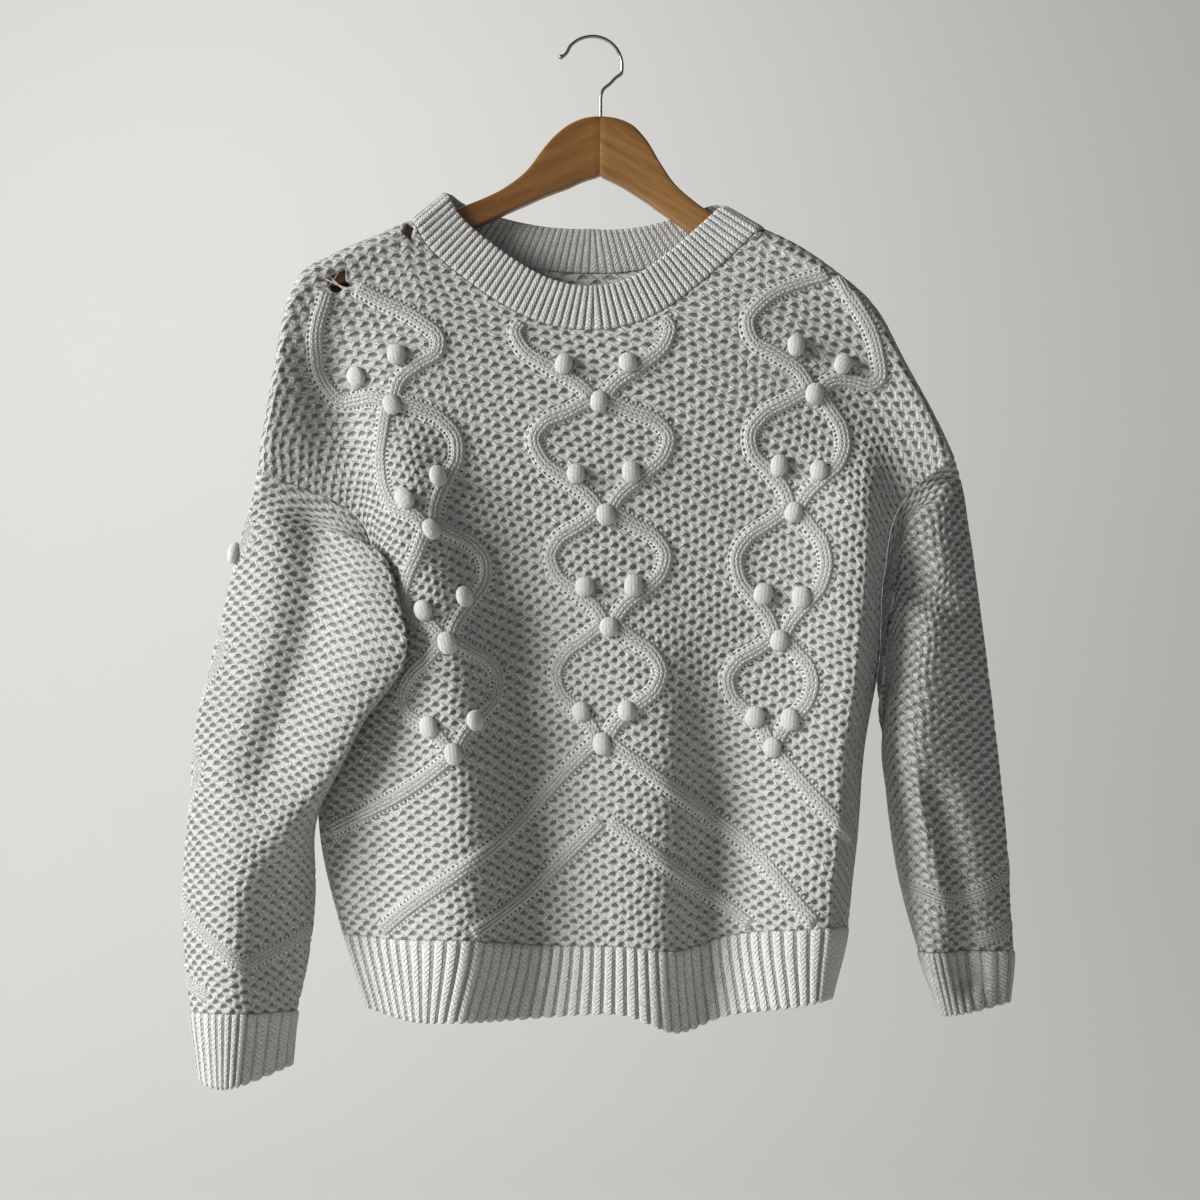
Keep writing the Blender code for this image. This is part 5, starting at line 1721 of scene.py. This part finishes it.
@dataclass(frozen=True)
class Bobbles:
    """Knitted bobbles: squashed balls that stand on the cloth."""

    radius: float = 7.1
    height: float = 7.3
    around: int = 32
    rings: int = 12
    pair_offset: float = 23.0
    pair_rise: float = 27.0
    lowest_pair_rise: float = 20.0
    drop: float = 3.0
    squash: float = 0.62
    lift: float = 2.4
    neck: float = -0.42
    boxy: float = 0.92
    dent: float = 0.05
    wale: float = 2.6
    leg: float = 3.4
    wide: tuple = (0.93, 1.05)
    tall: tuple = (0.98, 1.14)
    slant: tuple = (-0.25, 0.25)
    seed: int = 7
    nudge: float = 2.0

    def front_places(self, cables: CableWork) -> Array:
        """Three at each crossing: a pair above and one on it."""
        places = []
        for column in (-cables.spacing, 0.0, cables.spacing):
            for repeat in range(4):
                crossing = cables.last_crossing + repeat * cables.repeat
                rise = self.pair_rise if repeat else self.lowest_pair_rise
                places.append((column - self.pair_offset, crossing + rise))
                places.append((column + self.pair_offset, crossing + rise))
                places.append((column, crossing - self.drop))
        return np.array(places, float)

    def build(
        self, name: str, places: Array, place: Surface, sign: float, material: Material
    ) -> Piece:
        """Sets a dome on each place: rings from a narrow neck out to the waist and in over the top.

        Args:
            name: the piece's name.
            places: where they stand in the cloth.
            place: the surface, from cloth places to points.
            sign: 1 where the cloth's runs cross outwards, else -1.
            material: the finish.

        Returns:
            One object with every bobble.
        """
        draft = MeshDraft(name)
        chance = np.random.default_rng(self.seed)
        nudge = self.nudge
        turn = np.linspace(0, 2 * math.pi, self.around + 1)
        tilt = np.linspace(self.neck * math.pi, 0.5 * math.pi, self.rings + 1)[:-1]
        for spot in places:
            middle = place(spot[:1], spot[1:])[0]
            right = unit(place(spot[:1] + nudge, spot[1:])[0] - place(spot[:1] - nudge, spot[1:])[0])
            above = place(spot[:1], spot[1:] + nudge)[0] - place(spot[:1], spot[1:] - nudge)[0]
            outward = unit(np.cross(right, above) * sign)
            above = np.cross(outward, right) * sign
            wide, tall, slant = (chance.uniform(*reach) for reach in (self.wide, self.tall, self.slant))
            x, y = np.cos(turn), np.sin(turn)
            x, y = np.sign(x) * np.abs(x) ** self.boxy * wide, np.sign(y) * np.abs(y) ** self.boxy * tall
            x, y = x * math.cos(slant) - y * math.sin(slant), x * math.sin(slant) + y * math.cos(slant)
            reach = np.cos(tilt)[:, None] * self.radius
            stand = np.sin(tilt)[:, None] * self.height * self.squash + self.lift
            dent = 1 - self.dent * np.cos(turn * 2)[None] * np.cos(tilt)[:, None]
            aside, upward = x[None] * reach * dent, y[None] * reach * dent
            points = middle + aside[..., None] * right + upward[..., None] * above
            points = points + stand[..., None] * outward
            stitches = np.stack([x[None] * reach / self.wale, y[None] * reach / self.leg], axis=-1)
            ring = draft.add(points, stitches)
            draft.quads(ring, sign < 0)
            draft.closed(ring)
            draft.cap(ring[0], middle + stand[0] * outward, sign > 0)
            draft.cap(ring[-1], middle + (self.height * self.squash + self.lift) * outward, sign < 0)
        return dressed(draft.build(), material, Slot.KNIT)


# ---- hanger


class Station(NamedTuple):
    """One upright cut through the open part of a hanger arm, as seen: its top and bottom edges."""

    across: float
    top: float
    bottom: float


@dataclass(frozen=True)
class HangerArm:
    """One wooden arm, from the joint at the middle to its tip inside the shoulder."""

    name: str
    node: str
    side: Side
    stations: tuple
    under_seam: tuple
    half_thickness: float = 5.5
    seam_half_thickness: float = 4.2
    joint: float = 9.1
    joint_bevel: float = 0.5
    joint_gap: float = 0.03
    side_power: float = 0.42
    top_power: float = 0.55
    under_crest: float = 4.0
    tip_share: float = 0.6
    sharp_from: float = 40.0
    around: int = 40
    steps: int = 90

    def section(self, half: Array, tall: Array) -> tuple[Array, Array]:
        """An upright rounded bar: a rectangle whose corners are quarter circles, run round once.

        Args:
            half: half its thickness at each cut.
            tall: its height at each cut.

        Returns:
            How far forward and how far below its top each point is, cuts by points.
        """
        turn = np.linspace(0, 2 * math.pi, self.around, endpoint=False) + math.pi / self.around
        out = np.sign(np.cos(turn)) * np.abs(np.cos(turn)) ** self.side_power
        high = np.sign(np.sin(turn)) * np.abs(np.sin(turn)) ** (self.side_power * self.top_power)
        return half[:, None] * out[None], tall[:, None] * (1 - high[None]) / 2

    def build(self, material: Material) -> Piece:
        """Lofts the sections along the arm's bow and then along the underside of the shoulder seam."""
        side = self.side.value
        seen = np.array(self.stations, float)
        top = EYE.placed(seen[:, 0], seen[:, 1], BOW.forward(seen[:, 0]))
        tall = seen[:, 1] - seen[:, 2]
        down = np.repeat(np.array([[0.0, 0.0, -1.0]]), len(seen), axis=0)
        half = np.full(len(seen), self.half_thickness)
        wale, seam_tall = np.array(self.under_seam, float).T
        crest = BODY.point(wale, BODY.shoulder_height(wale), True)
        run = BODY.point(wale + side, BODY.shoulder_height(wale + side), True) - crest
        run[:, 1] = 0
        run = unit(run)
        square = np.stack([run[:, 2], np.zeros(len(run)), -run[:, 0]], axis=1) * side
        fall = BODY.point(wale, BODY.shoulder_height(wale) - BODY.roll * math.pi / 2, True) - crest
        fall[:, 1] = 0
        fall = unit(fall)
        slant = (fall * square).sum(axis=1, keepdims=True)
        top = np.concatenate([top, crest + fall * self.under_crest / slant])
        tall = np.concatenate([tall, seam_tall])
        down = np.concatenate([down, fall])
        narrow = np.full(len(wale), self.seam_half_thickness)
        narrow[-1] *= self.tip_share
        half = np.concatenate([half, narrow])
        at = lengths_along(top)
        even = np.linspace(0, at[-1], self.steps + 1)
        table = np.concatenate([top, down, tall[:, None], half[:, None]], axis=1)
        read = smooth(at, table, even)
        top, down, tall, half = read[:, :3], unit(read[:, 3:6]), read[:, 6], read[:, 7]
        half[0] -= self.joint_bevel
        tall[0] -= 2 * self.joint_bevel
        top[0, 2] -= self.joint_bevel
        forward, below = self.section(half, tall)
        ahead = np.array([0.0, -1.0, 0.0])
        points = top[:, None] + forward[..., None] * ahead + below[..., None] * down[:, None]
        points[0, :, 0] = self.joint + side * self.joint_gap
        ring = np.concatenate([points, points[:, :1]], axis=1)
        stitches = stacked(even[:, None] * MM, np.linspace(0, 1, self.around + 1)[None])
        draft = MeshDraft(self.name)
        index = draft.add(ring, stitches)
        flip = side > 0
        draft.quads(index, flip)
        draft.closed(index)
        draft.cap(index[0], points[0].mean(axis=0), not flip)
        draft.cap(index[-1], points[-1].mean(axis=0), flip)
        piece = draft.build()
        piece.data.set_sharp_from_angle(angle=math.radians(self.sharp_from))
        return dressed(piece, material, Slot.WOOD, self.node)


@dataclass(frozen=True)
class HookWire:
    """The wire hook: stem, bend, crown and a tip flared out to a small bead."""

    radius: float = 1.25
    bead: float = 1.9
    bend: tuple = ((9.5, -78), (9.5, -62), (9.5, -50), (9.7, -43.5), (11.2, -39), (16.3, -34.5), (21, -29.6))
    centre: tuple = (3.2, -21.15)
    crown: float = 22.4
    start: float = math.radians(-14)
    stop: float = math.radians(138)
    tip: tuple = ((-15.4, -10), (-17.4, -12.6), (-20, -14.1), (-22, -15))
    around: int = 20
    steps: int = 260
    arc_points: int = 18
    least: float = 0.05

    def build(self, material: Material) -> Piece:
        """Carries a circle along the wire's line, swelling into the bead at the tip."""
        angle = np.linspace(self.start, self.stop, self.arc_points)
        arc = np.array(self.centre) + self.crown * np.stack([np.cos(angle), np.sin(angle)], axis=1)
        line = np.concatenate([np.array(self.bend, float), arc, np.array(self.tip, float)])
        at = np.concatenate([[0.0], np.cumsum(np.hypot(*np.diff(line, axis=0).T))])
        even = np.linspace(0, at[-1], self.steps)
        path = smooth(at, line, even)
        run = unit(np.gradient(path, axis=0))
        left = np.stack([-run[:, 1], run[:, 0]], axis=1)
        last = at[-1] - even
        bead = np.sqrt((1 - ((last - self.bead) / self.bead) ** 2).clip(0)) * self.bead
        radius = np.where(last < self.bead, bead, np.maximum(self.radius, bead)).clip(self.least)
        turn = np.linspace(0, 2 * math.pi, self.around + 1)
        ring = stacked(left[:, :1] * np.cos(turn), np.sin(turn)[None], left[:, 1:] * np.cos(turn))
        middle = np.stack([path[:, 0], np.zeros(len(path)), path[:, 1]], axis=1)
        points = middle[:, None] + ring * radius[:, None, None]
        stitches = stacked(turn[None] / (2 * math.pi), even[:, None] * MM)
        draft = MeshDraft("hook_wire")
        index = draft.add(points, stitches)
        draft.quads(index, True)
        draft.closed(index)
        draft.cap(index[0], middle[0], False)
        draft.cap(index[-1], middle[-1], True)
        return dressed(draft.build(), material, Slot.STEEL, "hook")


# ---- the pullover


@dataclass(frozen=True)
class FlatSize:
    """A cut piece's flat size in metres, and its area where it isn't a rectangle."""

    width: float
    length: float
    area: float


class Pullover:
    """Every cut piece of the pullover, with what is knitted on it."""

    welt_depth = 57.7
    left_wings = (12.0, 104.0, 184.0)
    left_wing_column = -45.0
    left_chevrons = (
        ((-45, 272), (0, 316), (50, 345), (96, 362)),
        ((96, 362), (128, 347), (156, 330)),
        ((-45, 330), (0, 372), (40, 386)),
    )
    right_chevrons = (
        ((-30, 274), (0, 291), (22, 303), (42, 311)),
        ((42, 311), (80, 304), (120, 296), (154, 288)),
        ((-10, 324), (14, 335), (34, 341)),
    )
    left_bobble = (-6.4, 66.0)
    arms = ("hanger_left_arm", "hanger_right_arm")
    tears = (Tear(17, 52, 3, 1, 2), Tear(26, 53, 1, 1, 4))
    band_reach = 291.0
    band_clear = 4.0
    torn_middle = (-168.0, 477.0)
    torn_half = (14.0, 9.0)
    ball_light = (0.69, 0.685, 0.66, 1.0)
    ball_warm = (0.66, 0.65, 0.62, 1.0)

    def __init__(self) -> None:
        """Makes the finishes that the pieces share."""
        self.ground = YarnFinish("honeycomb_knit", Stitch.HONEYCOMB).material()
        self.ribs = YarnFinish("ribbed_knit", Stitch.RIB).material()
        self.bands = YarnFinish("cable_knit", Stitch.CABLE).material()
        self.balls = YarnFinish("bobble_knit", Stitch.BOBBLE, self.ball_light, self.ball_warm).material()
        self.cables = CableWork()
        self.sleeve_cables = CableWork(wale=2.6, height=0.6)
        self.bobbles = Bobbles()

    def front_place(self, wale: Array, height: Array) -> Array:
        """The front's surface."""
        return BODY.point(wale, height, True)

    def on_front(self, wale: Array, height: Array) -> Array:
        """Whether a band may run here: clear of the front's edges and of its larger tear."""
        low, top = self.band_clear, BODY.top_height(wale, True) - self.band_clear
        inside = (np.abs(wale) < self.band_reach) & (height > low) & (height < top)
        (x, y), (wide, tall) = self.torn_middle, self.torn_half
        return inside & (np.hypot((wale - x) / wide, (height - y) / tall) > 1)

    def build_body(self) -> None:
        """The front with its cables, bobbles and torn yarns, and the plain back."""
        front = Panel("front_panel", "front", True, 336, 5, 4, 5, 220, 275, self.tears).build(self.ground)
        lines = self.cables.front_lines()
        bands = self.cables.build("front_cables", lines, self.front_place, self.on_front, 1.0, self.bands)
        spots = self.bobbles.front_places(self.cables)
        balls = self.bobbles.build("front_bobbles", spots, self.front_place, 1.0, self.balls)
        torn = TornYarns().build("torn_yarns", self.front_place, self.balls)
        back = Panel("back_panel", "back", False, 252, 4, 4, 4, 176, 220).build(self.ground)

    def build_sleeves(self) -> None:
        """Both sleeves with their cables, and the left one's bobble."""
        wing = self.cables.diamond_side(self.left_wing_column, 0.0, 1)[1:-1]
        wings = [np.stack([wing[:, 0], top - wing[:, 1]], axis=1) for top in self.left_wings]
        left_lines = [np.array(line, float) for line in self.left_chevrons] + wings
        right_lines = [np.array(line, float) for line in self.right_chevrons]
        left = Sleeve("left_sleeve", "sleeve_left", LEFT_SLEEVE).build(self.ground)
        right = Sleeve("right_sleeve", "sleeve_right", RIGHT_SLEEVE).build(self.ground)
        spot = np.array([self.left_bobble])
        ball = self.bobbles.build("left_sleeve_bobble", spot, LEFT_SLEEVE.place, -1.0, self.balls)
        left_bands = self.sleeve_bands("left_sleeve_cables", left_lines, LEFT_SLEEVE)
        right_bands = self.sleeve_bands("right_sleeve_cables", right_lines, RIGHT_SLEEVE)

    def sleeve_bands(self, name: str, lines: list[Array], form: SleeveForm) -> Piece:
        """The bands on one sleeve."""
        sign = float(form.side.value)
        return self.sleeve_cables.build(name, lines, form.place, form.has, sign, self.bands)

    def build_ribs(self) -> None:
        """The welts, cuffs and neckband."""
        deep = self.welt_depth
        strip = RibStrip("front_welt", "welt_front", WeltSurface(True).at, 52, deep, 1.0, False)
        strip.build(self.ribs)
        strip = RibStrip("back_welt", "welt_back", WeltSurface(False).at, 48, deep, -1.0, False)
        strip.build(self.ribs)
        cuff = CuffSurface(LEFT_SLEEVE)
        strip = RibStrip("left_cuff", "cuff_left", cuff.at, 27, cuff.depth, 1.0, True)
        strip.build(self.ribs)
        cuff = CuffSurface(RIGHT_SLEEVE)
        strip = RibStrip("right_cuff", "cuff_right", cuff.at, 27, cuff.depth, -1.0, True)
        strip.build(self.ribs)
        strip = RibStrip(
            "neck_rib", "neckband", NECK.band, NECK.ribs, NECK.tall, -1.0, True, Ribbing(1.1, 0.3, 0.44),
            rows=20, wall=3.6, scallop=0.5, leg=3.0, edge_round=3.0,
        )
        strip.build(self.ribs)


class Hanger:
    """The wooden hanger and its hook."""

    left = HangerArm(
        "hanger_left_arm",
        "hanger_arm_left",
        Side.LEFT,
        (
            Station(9, -59, -104), Station(-4, -61, -108), Station(-15, -66, -113),
            Station(-26, -75, -117), Station(-36, -87, -121), Station(-45, -99, -125),
            Station(-61, -112, -132), Station(-92, -126.5, -146),
        ),
        ((-114, 22), (-140, 21), (-165, 19), (-184, 15), (-191, 8)),
    )
    right = HangerArm(
        "hanger_right_arm",
        "hanger_arm_right",
        Side.RIGHT,
        (
            Station(9, -59, -104), Station(22, -61, -110), Station(32, -65, -116),
            Station(43, -76, -123), Station(54, -94, -131), Station(65, -110, -138),
            Station(77, -121, -147), Station(96, -134, -158),
        ),
        ((112, 24), (140, 23), (170, 21), (198, 17), (206, 9)),
    )
    wire = HookWire()
    left_slope = math.radians(-24)
    right_slope = math.radians(32)
    # painted light: the right arm's wood is painted lighter than the left arm's, for the light on its face,
    # which turns towards the lamp on the left
    right_painted_light = (0.32, 0.168, 0.056, 1.0)

    def build(self) -> None:
        """Makes the two arms and the hook."""
        self.left.build(WoodFinish("left_wood", self.left_slope).material())
        # painted light: the right arm's lighter wood colour
        self.right.build(WoodFinish("right_wood_painted_light", self.right_slope, self.right_painted_light).material())
        self.wire.build(SteelFinish().material())


# ---- stage


@dataclass(frozen=True)
class Lamp:
    """One soft square lamp, turned towards a point."""

    name: str
    place: tuple
    aim: tuple
    size: float
    power: float
    colour: tuple = (1.0, 1.0, 1.0)

    def build(self) -> None:
        """Makes the lamp."""
        data = bpy.data.lights.new(self.name, "AREA")
        data.size = self.size
        data.energy = self.power
        data.color = self.colour
        made = in_scene(self.name, data)
        made.location = self.place
        made.rotation_euler = (Vector(self.aim) - Vector(self.place)).to_track_quat("-Z", "Y").to_euler()


@dataclass(frozen=True)
class Studio:
    """A pale floor and backdrop, soft light from the left, and the camera. Its sizes are in metres."""

    floor_level: float = -1.7
    backdrop: float = 4.2
    turn: float = 1.8
    wide: float = 14.0
    colour: tuple = (0.74, 0.735, 0.72, 1.0)
    roughness: float = 0.95
    lamps: tuple = (
        Lamp("window", (-4.6, -1.80, 1.15), (0.0, 0.0, -0.45), 2.2, 390.0, (1.0, 0.99, 0.97)),
        Lamp("fill", (1.6, -2.8, 0.3), (0.0, 0.0, -0.4), 2.4, 4.0, (0.97, 0.98, 1.0)),
        Lamp("backdrop_lamp", (-1.0, 1.4, 1.6), (0.3, 3.4, -0.5), 2.0, 26.0),
        Lamp("rear", (1.6, 2.6, 0.9), (0.0, 0.0, -0.4), 1.6, 5.0),
    )
    sky: tuple = (0.80, 0.80, 0.79, 1.0)
    sky_strength: float = 0.11
    lens: float = 50.0
    sensor: float = 36.0

    def sweep(self) -> None:
        """The floor, level at first, that turns up into the backdrop on a quarter circle."""
        turn = np.linspace(0, math.pi / 2, 25)
        curve = self.backdrop - self.turn + self.turn * np.sin(turn)
        y = np.concatenate([[-self.wide], curve, [self.backdrop]])
        z = np.concatenate([[0.0], self.turn * (1 - np.cos(turn)), [self.wide]]) + self.floor_level
        points = stacked(np.array([[-self.wide], [self.wide]]), y[None], z[None])
        index = np.arange(2 * len(y)).reshape(2, len(y))
        quads = np.stack([index[0, :-1], index[1, :-1], index[1, 1:], index[0, 1:]], axis=1)
        mesh = bpy.data.meshes.new("backdrop")
        mesh.from_pydata(points.reshape(-1, 3).tolist(), [], quads.tolist())
        mesh.shade_smooth()
        graph = Graph.named("backdrop")
        graph.levels((("Base Color", self.colour), ("Roughness", self.roughness)))
        mesh.materials.append(graph.material)
        in_scene("backdrop", mesh)

    def surround(self) -> None:
        """The faint even light from all around."""
        world = bpy.data.worlds.new("studio")
        world.use_nodes = True
        sky = world.node_tree.nodes["Background"]
        sky.inputs[0].default_value = self.sky
        sky.inputs[1].default_value = self.sky_strength
        bpy.context.scene.world = world
        bpy.context.scene.view_settings.view_transform = "Standard"

    def camera(self) -> None:
        """The camera, level and square to the wall, where the pullover is seen from."""
        data = bpy.data.cameras.new("camera")
        data.lens = self.lens
        data.sensor_width = self.sensor
        made = in_scene("camera", data)
        made.location = (EYE.x * MM, -EYE.distance * MM, EYE.z * MM)
        made.rotation_euler = (math.radians(90), 0.0, 0.0)
        bpy.context.scene.camera = made

    def build(self) -> None:
        """Makes the floor and backdrop, the lamps, the light around and the camera."""
        self.sweep()
        for lamp in self.lamps:
            lamp.build()
        self.surround()
        self.camera()


def main() -> None:
    """Builds the pullover, its hanger and the stage."""
    logging.basicConfig(level=logging.INFO, format="%(name)s: %(message)s")
    Studio().build()
    pullover = Pullover()
    pullover.build_body()
    pullover.build_sleeves()
    pullover.build_ribs()
    Hanger().build()
    bpy.context.view_layer.update()


if __name__ == "__main__":
    main()
